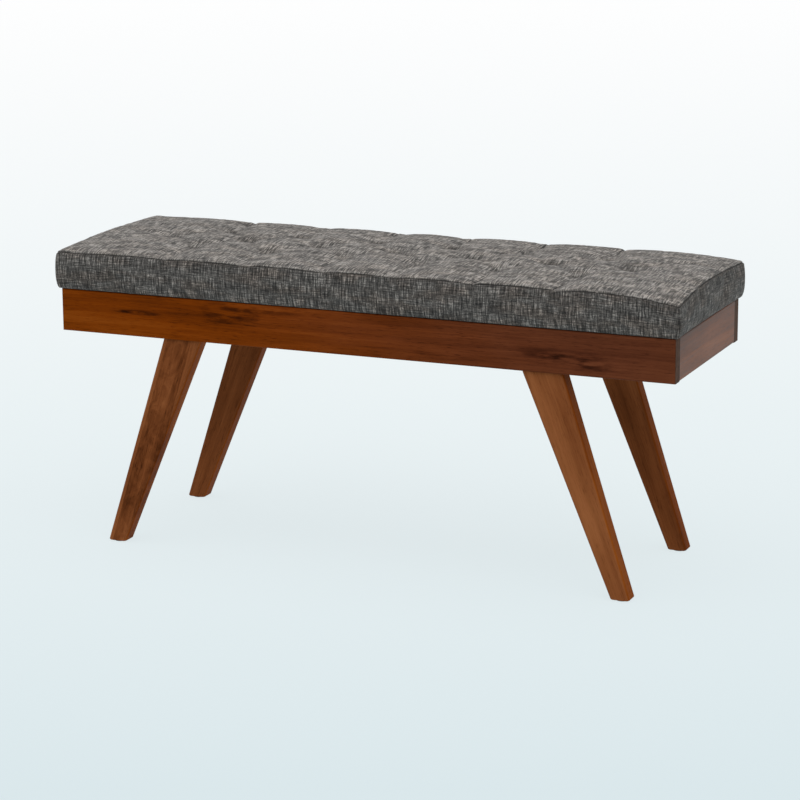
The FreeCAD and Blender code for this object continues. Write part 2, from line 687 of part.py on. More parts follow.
def wadding():
    sheet_form = filling_form.common(top_down(wadding_top)).cut(top_down(foam_top))
    return one_solid(sheet_form.common(above(board_high)))


def foam():
    return one_solid(filling_form.common(top_down(foam_top)).common(above(board_high)))


def pierced(shape, diameter):
    needles = rods(diameter, crown_z, [spot(x, y, 0) for x, y in tuft_xy])
    return one_solid(shape.cut(needles))


# Twines, from under the top panel to the washers below the seat board

def twine_solids():
    low = cushion_bottom
    twines = []
    for x, y in tuft_xy:
        high = crown_at(x, y) - s("tuft_depth") - s("cover_thick") - s("layer_gap")
        radius = s("twine_diameter") / 2
        twines.append(Part.makeCylinder(radius, high - low, FreeCAD.Vector(x, y, low)))
    return Part.makeCompound(twines)


# Staples through the hem and the dust cover, in rows clear of the corner blocks

def staple_rows():
    row_x = hem_x + s("staple_edge")
    row_y = hem_y + s("staple_edge")
    clear = s("block_reach") + s("staple_margin")
    along = int((number(inside_x) - clear) / s("staple_pitch"))
    across = int((number(inside_y) - clear) / s("staple_pitch"))
    long_xs = [count * s("staple_pitch") for count in range(-along, along + 1)]
    end_ys = [count * s("staple_pitch") for count in range(-across, across + 1)]
    rows = [(x, side * row_y, 0) for side in (-1, 1) for x in long_xs]
    return rows + [(side * row_x, y, 90) for side in (-1, 1) for y in end_ys]


def staple_shape(gap):
    # Crown and two legs; gap widens the legs alone, for the holes
    wire = s("staple_wire")
    reach = s("staple_width") / 2
    crown_bar = Part.makeBox(2 * reach, wire, wire, FreeCAD.Vector(-reach, -wire / 2, -wire))
    parts = []
    for start in (-reach, reach - wire):
        corner = FreeCAD.Vector(start - gap, -wire / 2 - gap, 0)
        parts.append(Part.makeBox(wire + 2 * gap, wire + 2 * gap, s("staple_leg") + gap, corner))
    if gap:
        return Part.makeCompound(parts)
    return crown_bar.fuse(parts)


def staples(gap):
    places = []
    for x, y, turn in staple_rows():
        spin = FreeCAD.Rotation(FreeCAD.Vector(0, 0, 1), turn)
        places.append(FreeCAD.Placement(FreeCAD.Vector(x, y, s("apron_top")), spin))
    return copies(staple_shape(gap), places)


# Build the frame

pieces = []
pieces += [long_apron("front_apron", "0"), long_apron("back_apron", "180")]
pieces += [end_apron("right_end_apron", "0"), end_apron("left_end_apron", "180")]
pieces += [leg("front_right_leg", -1, "0"), leg("back_right_leg", 1, "0")]
pieces += [leg("front_left_leg", 1, "180"), leg("back_left_leg", -1, "180")]
pieces += [leg_rail("right_leg_rail", "0"), leg_rail("left_leg_rail", "180")]
pieces += [seat_cleat("front_seat_cleat", "0"), seat_cleat("back_seat_cleat", "180")]
corners = {
    "front_left": (f"-{inside_x}", f"-{inside_y}", "0"),
    "front_right": (inside_x, f"-{inside_y}", "90"),
    "back_right": (inside_x, inside_y, "180"),
    "back_left": (f"-{inside_x}", inside_y, "270"),
}
for corner_name, (corner_x, corner_y, corner_turn) in corners.items():
    pieces.append(corner_block(corner_name + "_corner_block", corner_x, corner_y, corner_turn))
for corner_name, x_side, y_side in (("front_left", -1, -1), ("front_right", 1, -1),
                                    ("back_right", 1, 1), ("back_left", -1, 1)):
    pieces.append(glide(corner_name + "_glide", x_side, y_side))

# Fasteners: places come from the same formulas as their holes

wood_screw = turned("wood_screw_master", pointed_profile(
    "size.screw_diameter", "size.screw_length", "size.screw_head_diameter", "size.screw_head_height",
    "size.screw_head_height / 2"))
nail = turned("glide_nail_master", pointed_profile(
    "size.nail_diameter", "size.nail_length", "size.nail_head_diameter", "size.nail_head_thick",
    "size.nail_head_thick / 3"))
bolt = leg_bolt()
washer = disc("washer_master", "size.washer_diameter", "size.washer_thick",
              "size.bolt_diameter + 2 * size.free_gap")
insert = disc("insert_master", "size.insert_diameter", "size.insert_length",
              "size.bolt_diameter + 2 * size.fit_gap")
dowel = disc("dowel_master", "size.dowel_diameter", "size.dowel_length")

inner_y = number(inside_y)
inner_x = number(inside_x)
lap_y = number(leg_inside)
bolt_spots = [(number(outer_bolt_x), number(low_bolt_z)), (number(inner_bolt_x), number(high_bolt_z))]
bolt_ends = [(x_side * x, y_side, z) for x, z in bolt_spots for x_side in (-1, 1) for y_side in (-1, 1)]
head_y = lap_y - s("washer_thick")
pieces.append(feature("leg_bolts", copies(bolt.Shape, [
    spot(x, side * head_y, z, (0, side, 0)) for x, side, z in bolt_ends])))
pieces.append(feature("leg_bolt_washers", copies(washer.Shape, [
    spot(x, side * head_y, z, (0, side, 0)) for x, side, z in bolt_ends])))
pieces.append(feature("leg_bolt_inserts", copies(insert.Shape, [
    spot(x, side * inner_y, z, (0, side, 0)) for x, side, z in bolt_ends])))

dowel_x = number(corner_dowel_x)
dowel_start = inner_y + s("dowel_in_apron") - s("dowel_length")
pieces.append(feature("apron_dowels", copies(dowel.Shape, [
    spot(x, side * dowel_start, number(z), (0, side, 0))
    for x in (-dowel_x, dowel_x) for side in (-1, 1) for z in (low_dowel_z, high_dowel_z)])))
rail_dowel_start = lap_y + s("dowel_in_leg") - s("dowel_length")
pieces.append(feature("leg_rail_dowels", copies(dowel.Shape, [
    spot(x, side * rail_dowel_start, number(z), (0, side, 0))
    for x in (-number(rail_x), number(rail_x)) for side in (-1, 1)
    for z in (low_rail_dowel_z, high_rail_dowel_z)])))

cleat_face = inner_y - s("cleat_width")
pieces.append(feature("cleat_screws", copies(wood_screw.Shape, [
    spot(number(x), side * cleat_face, number(cleat_z), (0, side, 0))
    for x in mirrored(cleat_side_near, cleat_side_far) for side in (-1, 1)])))
block_head = s("screw_length") - s("screw_grip")
block_spots = []
for x_side in (-1, 1):
    for y_side in (-1, 1):
        block_spots.append(spot(x_side * (inner_x - s("block_screw_reach")), y_side * (inner_y - block_head),
                                number(block_screw_z), (0, y_side, 0)))
        block_spots.append(spot(x_side * (inner_x - block_head), y_side * (inner_y - s("block_screw_reach")),
                                number(block_screw_z), (x_side, 0, 0)))
pieces.append(feature("corner_block_screws", copies(wood_screw.Shape, block_spots)))
seat_spots = [(number(x), number(y)) for x, y in seat_screw_places()]
pieces.append(feature("seat_screws", copies(wood_screw.Shape, [
    spot(x, y, number(seat_screw_head_z)) for x, y in seat_spots])))
nail_z = s("nail_sunk") + s("nail_head_thick")
pieces.append(feature("glide_nails", copies(nail.Shape, [
    spot(x_side * number(leg_foot_x), y_side * number(leg_middle), nail_z)
    for x_side in (-1, 1) for y_side in (-1, 1)])))

# Build the seat

staple_holes = feature("staple_holes", staples(s("fit_gap")))
screw_holes = rods(s("screw_diameter") + 2 * s("free_gap"), s("screw_length"),
                   [spot(x, y, number(seat_screw_head_z)) for x, y in seat_spots])

plain_board = seat_plate("seat_board_blank", board_half_x, board_half_y,
                         "size.corner_round - size.bottom_tuck", board_bottom, "size.seat_board_thick")
drill(plain_board, "XY_Plane", "seat_board_twine_holes", "size.twine_hole", "size.seat_board_thick",
      board_top, tuft_places())
drill(plain_board, "XY_Plane", "seat_board_screw_holes", pilot_hole,
      "size.screw_length - size.cleat_height - size.dust_thick - size.cover_thick + size.hole_extra",
      board_bottom, seat_screw_places(), True)
plain_dust = seat_plate("dust_cover_blank", f"({board_half_x} - size.dust_inset)",
                        f"({board_half_y} - size.dust_inset)", "size.dust_inset", "size.apron_top",
                        "size.dust_thick")
drill(plain_dust, "XY_Plane", "dust_cover_screw_holes", free_hole, "size.dust_thick", seat_bottom,
      seat_screw_places())
for blank in (plain_board, plain_dust):
    cut = model.addObject("Part::Cut", blank.Name.replace("_blank", ""))
    cut.Base = blank
    cut.Tool = staple_holes
    pieces.append(cut)

pieces.append(feature("foam_pad", pierced(foam(), s("twine_diameter") + 2 * s("fit_gap"))))
pieces.append(feature("wadding_sheet", pierced(wadding(), s("twine_diameter") + 2 * s("fit_gap"))))
pieces.append(feature("cover_top_panel", top_panel()))
cover_walls = boxing_ring().cut(staple_holes.Shape).cut(screw_holes)
for side_name in ("front", "back", "left", "right"):
    boxing = one_solid(cover_walls.common(corner_sector(side_name)))
    pieces.append(feature(f"cover_{side_name}_boxing", boxing))
pieces.append(feature("tuft_twines", twine_solids()))
anchor = disc("anchor_master", "size.anchor_diameter", "size.cover_thick",
              "size.twine_diameter + 2 * size.fit_gap")
pieces.append(feature("tuft_washers", copies(anchor.Shape, [
    spot(x, y, cushion_bottom) for x, y in tuft_xy])))
pieces.append(feature("cover_staples", staples(0)))

model.recompute()

# Check every object, then write each piece

for item in model.Objects:
    if {"Invalid", "Error"} & set(item.State):
        raise RuntimeError("%s failed: %s" % (item.Name, item.State))
for piece in pieces:
    if piece.Shape.isNull() or not piece.Shape.isValid() or not piece.Shape.Solids:
        raise RuntimeError("%s has no valid solid" % piece.Label)

os.makedirs("parts", exist_ok=True)
for piece in pieces:
    piece.Shape.exportStep("parts/%s.step" % piece.Label)
print("%d pieces, %d solids" % (len(pieces), sum(len(piece.Shape.Solids) for piece in pieces)))
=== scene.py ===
import math

import bpy
import numpy as np
from mathutils import Matrix, Vector


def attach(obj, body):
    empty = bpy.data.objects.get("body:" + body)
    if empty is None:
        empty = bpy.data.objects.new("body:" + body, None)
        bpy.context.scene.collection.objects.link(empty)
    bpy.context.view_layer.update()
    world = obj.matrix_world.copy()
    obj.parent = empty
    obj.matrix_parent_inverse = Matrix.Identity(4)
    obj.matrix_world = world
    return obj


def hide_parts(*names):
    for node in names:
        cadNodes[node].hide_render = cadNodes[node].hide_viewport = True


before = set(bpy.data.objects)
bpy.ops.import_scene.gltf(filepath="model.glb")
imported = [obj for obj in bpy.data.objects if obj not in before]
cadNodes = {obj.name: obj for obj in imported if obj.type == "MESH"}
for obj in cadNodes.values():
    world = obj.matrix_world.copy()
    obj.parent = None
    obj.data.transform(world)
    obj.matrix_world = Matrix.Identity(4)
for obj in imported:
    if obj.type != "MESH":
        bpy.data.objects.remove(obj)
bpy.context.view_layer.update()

# Upholstered bench: splayed walnut-stained legs, a box apron and a diamond-tufted linen seat.
# Metres. +X runs along the bench, -Y is its front and +Z is up.

print("frame loaded,", len(cadNodes), "CAD nodes")


# Small tools for node trees and meshes

def addNode(tree, kind, inputs=None, **settings):
    # One shader node: its settings, then each input as a value or as a link from a socket
    made = tree.nodes.new("ShaderNode" + kind)
    for key, value in settings.items():
        setattr(made, key, value)
    for key, value in (inputs or {}).items():
        if isinstance(value, bpy.types.NodeSocket):
            tree.links.new(value, made.inputs[key])
        else:
            made.inputs[key].default_value = value
    return made


def newMaterial(name):
    # A material with one Principled shader on its output
    material = bpy.data.materials.new(name)
    material.use_nodes = True
    tree = material.node_tree
    tree.nodes.clear()
    surface = addNode(tree, "BsdfPrincipled")
    addNode(tree, "OutputMaterial", {"Surface": surface.outputs["BSDF"]})
    return material, tree, surface


def colour(rgb):
    return (rgb[0], rgb[1], rgb[2], 1.0)


def ramp(tree, amount, stops):
    # Colours along a value, as (place, colour) pairs
    made = addNode(tree, "ValToRGB", {"Fac": amount})
    points = made.color_ramp.elements
    while len(points) < len(stops):
        points.new(0.5)
    for point, (place, rgb) in zip(points, stops):
        point.position = place
        point.color = colour(rgb)
    return made.outputs["Color"]


def mathNode(tree, operation, *values, clamp=False):
    made = addNode(tree, "Math", operation=operation, use_clamp=clamp)
    for slot, value in enumerate(values):
        if isinstance(value, bpy.types.NodeSocket):
            tree.links.new(value, made.inputs[slot])
        else:
            made.inputs[slot].default_value = value
    return made.outputs[0]


def stretch(tree, value, low, high, toLow=0.0, toHigh=1.0):
    # Smoothly turns low..high into toLow..toHigh
    made = addNode(tree, "MapRange", {"Value": value, "From Min": low, "From Max": high,
                                      "To Min": toLow, "To Max": toHigh},
                   interpolation_type="SMOOTHSTEP")
    return made.outputs["Result"]


def mapped(tree, vector, scale=(1, 1, 1), place=(0, 0, 0), turn=(0, 0, 0)):
    made = addNode(tree, "Mapping", {"Vector": vector, "Location": place, "Rotation": turn, "Scale": scale})
    return made.outputs["Vector"]


def noise(tree, vector, scale=1.0, detail=2.0, roughness=0.5, distortion=0.0):
    made = addNode(tree, "TexNoise", {"Vector": vector, "Scale": scale, "Detail": detail,
                                      "Roughness": roughness, "Distortion": distortion})
    return made.outputs["Fac"]


def mixColour(tree, amount, first, second, how="MIX"):
    made = addNode(tree, "Mix", {"Factor": amount}, data_type="RGBA", blend_type=how)
    for socket, value in ((made.inputs[6], first), (made.inputs[7], second)):
        if isinstance(value, bpy.types.NodeSocket):
            tree.links.new(value, socket)
        else:
            socket.default_value = colour(value)
    return made.outputs[2]


def bumped(tree, surface, height, strength, distance):
    made = addNode(tree, "Bump", {"Height": height, "Strength": strength, "Distance": distance})
    tree.links.new(made.outputs["Normal"], surface.inputs["Normal"])


# Stained wood

# Noise frequencies along and across the grain, and how much each adds to the tone
grainScale = {"bend": (2.2, 9, 9), "drift": (3.5, 14, 14), "bands": (2.4, 75, 75),
              "streaks": (9, 420, 420), "pores": (60, 1500, 1500)}
grainTone = {"base": -0.21, "drift": 0.75, "bands": 0.46, "streaks": 0.34, "pores": 0.3}
grainWander = 0.012
frontFace, markDepth = -0.1645, 0.02         # the front board's face, and how deep its marks reach


def stainedWood(name, look):
    # Tone = broad drift + growth bands + fine streaks - pores, all stretched along the grain;
    # the tone runs through a ramp of stain colours. The pattern's own X is the grain's direction.
    material, tree, surface = newMaterial(name)
    place = addNode(tree, "TexCoord").outputs["Object"]
    along = mapped(tree, place, place=look.get("shift", (0, 0, 0)), turn=look.get("turn", (0, 0, 0)))
    bend = noise(tree, mapped(tree, along, grainScale["bend"]), detail=2)
    swing = mathNode(tree, "MULTIPLY", bend, grainWander)
    wander = addNode(tree, "CombineXYZ", {"Y": swing, "Z": swing})
    grain = addNode(tree, "VectorMath", {0: along, 1: wander.outputs[0]}, operation="ADD").outputs[0]
    drift = noise(tree, mapped(tree, grain, grainScale["drift"]), detail=3, roughness=0.6)
    bands = noise(tree, mapped(tree, grain, grainScale["bands"]), detail=3, roughness=0.55)
    streaks = noise(tree, mapped(tree, grain, grainScale["streaks"]), detail=2, roughness=0.6)
    pores = noise(tree, mapped(tree, grain, grainScale["pores"]), detail=1)
    tone = mathNode(tree, "MULTIPLY_ADD", drift, grainTone["drift"], look.get("base", grainTone["base"]))
    tone = mathNode(tree, "MULTIPLY_ADD", bands, grainTone["bands"], tone)
    tone = mathNode(tree, "MULTIPLY_ADD", streaks, grainTone["streaks"], tone)
    tone = mathNode(tree, "SUBTRACT", tone, stretch(tree, pores, 0.58, 0.76, 0, grainTone["pores"]))
    if "rise" in look:
        # Paler towards the top, from a middle height
        middle, slope = look["rise"]
        upward = addNode(tree, "SeparateXYZ", {"Vector": place}).outputs["Z"]
        tone = mathNode(tree, "MULTIPLY_ADD", mathNode(tree, "SUBTRACT", upward, middle), slope, tone)
    if "figure" in look:
        # Mottled figure: curls of dark and light that cross the grain
        curl = noise(tree, mapped(tree, along, (26, 46, 46)), detail=4, roughness=0.62, distortion=1.6)
        part = look["figure"]
        if "figureSpan" in look:
            low, high = look["figureSpan"]
            across = addNode(tree, "SeparateXYZ", {"Vector": along}).outputs["Z"]
            inside = mathNode(tree, "MULTIPLY", stretch(tree, across, low - 0.002, low + 0.002),
                              stretch(tree, across, high - 0.002, high + 0.002, 1, 0))
            part = mathNode(tree, "MULTIPLY", inside, part)
        curl = mathNode(tree, "MULTIPLY", mathNode(tree, "SUBTRACT", curl, 0.56), part)
        tone = mathNode(tree, "ADD", tone, curl)
    for low, high, shade in look.get("staves", ()):
        # Glued staves: strips along the grain with a tone of their own
        across = addNode(tree, "SeparateXYZ", {"Vector": along}).outputs["Z"]
        inside = mathNode(tree, "MULTIPLY", stretch(tree, across, low - 0.0006, low + 0.0006),
                          stretch(tree, across, high - 0.0006, high + 0.0006, 1, 0))
        tone = mathNode(tree, "MULTIPLY_ADD", inside, shade, tone)
    for (x, z), (length, high), shade in look.get("marks", ()):
        # Dark lenses and stains: soft ellipses with ragged edges, in the bench's own frame
        ragged = noise(tree, mapped(tree, place, (26, 26, 110)), detail=3)
        size = (length, markDepth, high)
        offset = [-part / reach for part, reach in zip((x, frontFace, z), size)]
        ellipse = mapped(tree, place, [1 / reach for reach in size], offset)
        spot = addNode(tree, "TexGradient", {"Vector": ellipse}, gradient_type="SPHERICAL").outputs["Fac"]
        spot = mathNode(tree, "MULTIPLY", spot, stretch(tree, ragged, 0.36, 0.62))
        tone = mathNode(tree, "MULTIPLY_ADD", spot, -shade, tone)
    wood = ramp(tree, tone, look["colours"])
    if "farColours" in look:
        # The colours change slowly along the board, from the first ramp on the left to the far ramp on the
        # right
        far = ramp(tree, tone, look["farColours"])
        across = addNode(tree, "SeparateXYZ", {"Vector": place}).outputs["X"]
        uneven = mathNode(tree, "MULTIPLY_ADD", drift, 0.5, mathNode(tree, "SUBTRACT", across, 0.25))
        wood = mixColour(tree, stretch(tree, uneven, *look["farSpan"]), wood, far)
    facing = addNode(tree, "SeparateXYZ", {"Vector": addNode(tree, "NewGeometry").outputs["Normal"]})
    onEnd = mathNode(tree, "ABSOLUTE", facing.outputs["X"])
    endMask = stretch(tree, onEnd, 0.75, 0.95)
    if "endColours" in look:
        # Board ends: short rings and a deeper stain
        rings = noise(tree, mapped(tree, place, (4, 260, 90), turn=(0.35, 0, 0)), detail=3)
        end = ramp(tree, rings, look["endColours"])
        wood = mixColour(tree, endMask, wood, end)
    if "sideLightTint" in look:
        # Painted light: the narrow side faces of a leg, picked by their facing, get a deeper, more saturated
        # orange that stands in for how the light falls on them
        wood = mixColour(tree, stretch(tree, onEnd, 0.6, 0.85), wood, look["sideLightTint"], "MULTIPLY")
    if "joint" in look:
        # Butt joint: a hair line where two boards meet on the bench's end faces
        y = mathNode(tree, "ABSOLUTE", addNode(tree, "SeparateXYZ", {"Vector": place}).outputs["Y"])
        nearness = mathNode(tree, "ABSOLUTE", mathNode(tree, "SUBTRACT", y, look["joint"]))
        line = mathNode(tree, "MULTIPLY", stretch(tree, nearness, 0.0002, 0.0011, 1, 0), endMask)
        wood = mixColour(tree, line, wood, (0.012, 0.005, 0.003))
    tree.links.new(wood, surface.inputs["Base Color"])
    gloss = mathNode(tree, "MULTIPLY_ADD", streaks, 0.16, look.get("roughness", 0.36) - 0.08)
    tree.links.new(gloss, surface.inputs["Roughness"])
    surface.inputs["Specular IOR Level"].default_value = look.get("specular", 0.01)
    height = mathNode(tree, "MULTIPLY_ADD", bands, 0.35, mathNode(tree, "MULTIPLY", streaks, 0.5))
    height = mathNode(tree, "SUBTRACT", height, stretch(tree, pores, 0.62, 0.8, 0, 0.6))
    height = mathNode(tree, "MULTIPLY", height, stretch(tree, onEnd, 0.5, 0.9, 1, 0))
    bumped(tree, surface, height, look.get("bump", 0.2), 0.0004)
    return material


orangeStain = [(0.1, (0.030, 0.006, 0.0010)), (0.36, (0.105, 0.020, 0.0012)),
               (0.58, (0.185, 0.036, 0.0016)), (0.95, (0.290, 0.075, 0.0080))]
redStain = [(0.1, (0.026, 0.007, 0.003)), (0.36, (0.078, 0.021, 0.009)),
            (0.58, (0.125, 0.036, 0.015)), (0.95, (0.205, 0.066, 0.028))]
browner = [(0.1, (0.035, 0.010, 0.003)), (0.36, (0.105, 0.029, 0.008)),
           (0.58, (0.185, 0.056, 0.017)), (0.95, (0.300, 0.105, 0.036))]
darkEnd = [(0.3, (0.045, 0.021, 0.012)), (0.7, (0.105, 0.052, 0.032))]

quarter = math.pi / 2
footX, headX, legRise = 0.4355, 0.3062, 0.349        # a leg's line at the floor and under the apron
legLean = math.atan2(footX - headX, legRise)
jointPlace = 0.1425                          # where the end boards meet the long ones

woodLooks = {
    "frontApronWood": {
        "colours": orangeStain, "farColours": redStain, "farSpan": (-0.32, 0.42),
        "endColours": darkEnd, "joint": jointPlace, "staves": [(0.384, 0.4215, -0.05)],
        # each mark: middle in X and Z, length and height, strength
        "marks": [((-0.385, 0.3905), (0.050, 0.0045), 0.75), ((-0.216, 0.397), (0.080, 0.018), 0.40),
                  ((-0.17, 0.412), (0.14, 0.012), 0.32), ((0.335, 0.378), (0.095, 0.014), 0.50),
                  ((0.385, 0.368), (0.050, 0.011), 0.50), ((0.12, 0.362), (0.09, 0.008), 0.25)],
    },
    "backApronWood": {"colours": browner, "shift": (0.7, 0.1, 0.23), "endColours": darkEnd,
                      "joint": jointPlace},
    "endApronWood": {"colours": browner, "turn": (0, 0, quarter), "shift": (0.2, 0.4, 0.1),
                     "joint": jointPlace, "roughness": 0.4, "specular": 0.15, "base": -0.35},
}

legLooks = {
    "front_left_leg": {"side": -1, "lean": 0.3096, "shift": (0.1, 0.0, 0.0), "colours": browner,
                       "base": -0.15, "figure": 0.7, "figureSpan": (0.3825, 0.4225),
                       "staves": [(0.4225, 0.44, 0.12), (0.3825, 0.4225, -0.06), (0.34, 0.3825, 0.05)]},
    "front_right_leg": {"side": 1, "shift": (0.45, 0.0, 0.0), "colours": browner, "base": -0.09},
    "back_left_leg": {"side": -1, "shift": (0.9, 0.0, 0.0), "colours": browner, "base": -0.23},
    "back_right_leg": {"side": 1, "shift": (1.4, 0.0, 0.0), "colours": browner, "base": -0.16,
                       "rise": (0.19, 0.8)},
}

paleWood = [(0.2, (0.30, 0.20, 0.11)), (0.5, (0.46, 0.33, 0.19)), (0.85, (0.58, 0.44, 0.27))]
innerLook = {"colours": paleWood, "roughness": 0.6, "specular": 0.25}
woodLooks["innerWood"] = dict(innerLook, bump=0.3)
woodLooks["innerEndWood"] = dict(innerLook, bump=0.3, turn=(0, 0, quarter))
woodLooks["dowelWood"] = dict(innerLook, turn=(0, 0, quarter), shift=(0.3, 0.2, 0.1))

woods = {name: stainedWood(name, look) for name, look in woodLooks.items()}
for node, look in legLooks.items():
    # The grain follows the leg, which leans outwards; the pattern's Z is then measured across it
    # Each leg's side faces get a painted-light tint of deeper orange
    turned = dict(look, turn=(0, quarter + look["side"] * look.get("lean", legLean), 0),
                  sideLightTint=(1.0, 0.74, 0.25))
    woods[node] = stainedWood(node + "_wood", turned)
print("wood:", len(woods), "materials")


# Other finishes of the frame

def layered(name, look):
    # Plywood: flat plies seen on the edges, a pale rotary-cut face on top and below
    material, tree, surface = newMaterial(name)
    place = addNode(tree, "TexCoord").outputs["Object"]
    face = noise(tree, mapped(tree, place, (3, 22, 22)), scale=1.6, detail=3, distortion=1.2)
    height = addNode(tree, "SeparateXYZ", {"Vector": place}).outputs["Z"]
    ply = mathNode(tree, "SINE", mathNode(tree, "MULTIPLY", height, look["plies"]))
    tone = mathNode(tree, "MULTIPLY_ADD", ply, 0.16, face)
    tree.links.new(ramp(tree, tone, look["colours"]), surface.inputs["Base Color"])
    surface.inputs["Roughness"].default_value = 0.7
    bumped(tree, surface, face, 0.2, 0.0005)
    return material


def metal(name, look):
    # Plated steel: fine turned lines and a faint bloom
    material, tree, surface = newMaterial(name)
    place = addNode(tree, "TexCoord").outputs["Object"]
    bloom = noise(tree, mapped(tree, place, (60, 60, 60)), detail=3)
    tree.links.new(ramp(tree, bloom, look["colours"]), surface.inputs["Base Color"])
    tree.links.new(stretch(tree, bloom, 0.3, 0.7, look["roughness"] - 0.07, look["roughness"] + 0.1),
                   surface.inputs["Roughness"])
    surface.inputs["Metallic"].default_value = 1.0
    lines = noise(tree, mapped(tree, place, (900, 900, 900)), detail=1)
    bumped(tree, surface, lines, 0.15, 0.0002)
    return material


def moulded(name, look):
    # Moulded plastic, foam or fibre: a grained surface with a slight change of tone
    material, tree, surface = newMaterial(name)
    place = addNode(tree, "TexCoord").outputs["Object"]
    grainy = noise(tree, place, scale=look["grain"], detail=3, roughness=0.6)
    tree.links.new(ramp(tree, grainy, look["colours"]), surface.inputs["Base Color"])
    surface.inputs["Roughness"].default_value = look["roughness"]
    bumped(tree, surface, grainy, look["bump"], 0.0006)
    return material


plywoodLook = {"plies": 2 * math.pi / 0.003,
               "colours": [(0.25, (0.33, 0.22, 0.12)), (0.5, (0.50, 0.37, 0.22)), (0.8, (0.62, 0.49, 0.32))]}
metalLooks = {
    "zinc": {"colours": [(0.3, (0.50, 0.50, 0.48)), (0.7, (0.68, 0.68, 0.66))], "roughness": 0.32},
    "insert": {"colours": [(0.3, (0.42, 0.34, 0.17)), (0.7, (0.60, 0.50, 0.28))], "roughness": 0.35},
    "screwSteel": {"colours": [(0.3, (0.40, 0.36, 0.24)), (0.7, (0.58, 0.54, 0.40))], "roughness": 0.3},
}
mouldedLooks = {
    "glidePlastic": {"colours": [(0.3, (0.030, 0.022, 0.018)), (0.7, (0.055, 0.042, 0.034))],
                     "grain": 700, "roughness": 0.5, "bump": 0.25},
    "twineThread": {"colours": [(0.3, (0.45, 0.42, 0.36)), (0.7, (0.66, 0.62, 0.54))],
                    "grain": 1800, "roughness": 0.9, "bump": 0.5},
}
finishes = {"plywood": layered("plywood", plywoodLook)}
finishes.update({name: metal(name, look) for name, look in metalLooks.items()})
finishes.update({name: moulded(name, look) for name, look in mouldedLooks.items()})


def dress(material, *nodes):
    # Gives a CAD node its finish; its mesh stays as it is
    for name in nodes:
        slots = cadNodes[name].material_slots
        for slot in slots:
            slot.material = material
        if not slots:
            cadNodes[name].data.materials.append(material)


dress(woods["frontApronWood"], "front_apron")
dress(woods["backApronWood"], "back_apron")
dress(woods["endApronWood"], "left_end_apron", "right_end_apron")
for node in legLooks:
    dress(woods[node], node)
dress(woods["innerWood"], "front_seat_cleat", "back_seat_cleat")
dress(woods["innerEndWood"], "left_leg_rail", "right_leg_rail", "front_left_corner_block",
      "front_right_corner_block", "back_left_corner_block", "back_right_corner_block")
dress(woods["dowelWood"], "apron_dowels", "leg_rail_dowels")
dress(finishes["plywood"], "seat_board")
dress(finishes["zinc"], "leg_bolts", "leg_bolt_washers", "tuft_washers", "cover_staples", "glide_nails")
dress(finishes["insert"], "leg_bolt_inserts")
dress(finishes["screwSteel"], "cleat_screws", "corner_block_screws", "seat_screws")
dress(finishes["glidePlastic"], "front_left_glide", "front_right_glide", "back_left_glide",
      "back_right_glide")
dress(finishes["twineThread"], "tuft_twines")
print("CAD nodes dressed")


# The seat's sizes, in metres; pairs run front and back, or left and right

seat = {
    "halfX": 0.529, "halfY": 0.171,          # fullest line
    "bottom": 0.4206, "full": 0.4496, "crown": 0.490,
    "cornerRound": 0.007, "drawIn": 0.002, "bottomTuck": 0.0045, "seamTuck": 0.0025, "hemCurl": 0.0012,
    "sideFall": (0.007, 0.005), "endFall": (0.0045, 0.007),
    "cornerFall": ((-0.0010, -0.0005), (0.0060, 0.0005)),        # left front and back, right front and back
    "pitch": 0.132, "row": 0.070, "lastTuft": 0.396,
    "tuftDepth": 0.0095, "creaseDepth": 0.0042, "seamDip": 0.0014, "edgeBand": 0.03,
    "endPuff": 0.0032,                       # the left end stands up behind its seam
    "beforeSwell": 0.0012,                   # the pad starts this much lower and swells back
    "boxing": 0.064, "hemTurn": 0.053,       # cloth down the side, and under to the hem's edge
    "boxingShares": np.concatenate([[0.042], np.linspace(0.135, 0.96, 10), [1.0]]),
    "hemX": 0.4695, "hemY": 0.1115, "hemTop": 0.42165,
    "boardGap": 0.00765, "boardTop": 0.43695,
    "pressure": 3.0, "frames": 20, "shrink": -0.012, "cap": 0.0045,
    # folds from the front (-1) and back (1) tufts to the seam: column, side, where it starts, strength
    "folds": [(-0.330, -1, 0.098, 0.95), (-0.198, -1, 0.118, 0.75), (-0.066, -1, 0.125, 0.5),
              (0.066, -1, 0.135, 0.4), (0.198, -1, 0.105, 0.95), (0.330, -1, 0.118, 0.8),
              (-0.330, 1, 0.10, 0.6), (-0.066, 1, 0.10, 0.6), (0.066, 1, 0.085, 0.8),
              (0.198, 1, 0.075, 0.95), (0.330, 1, 0.085, 0.8)],
}


# Seat fabric: a heathered linen weave, in metres of the piece's own UV map

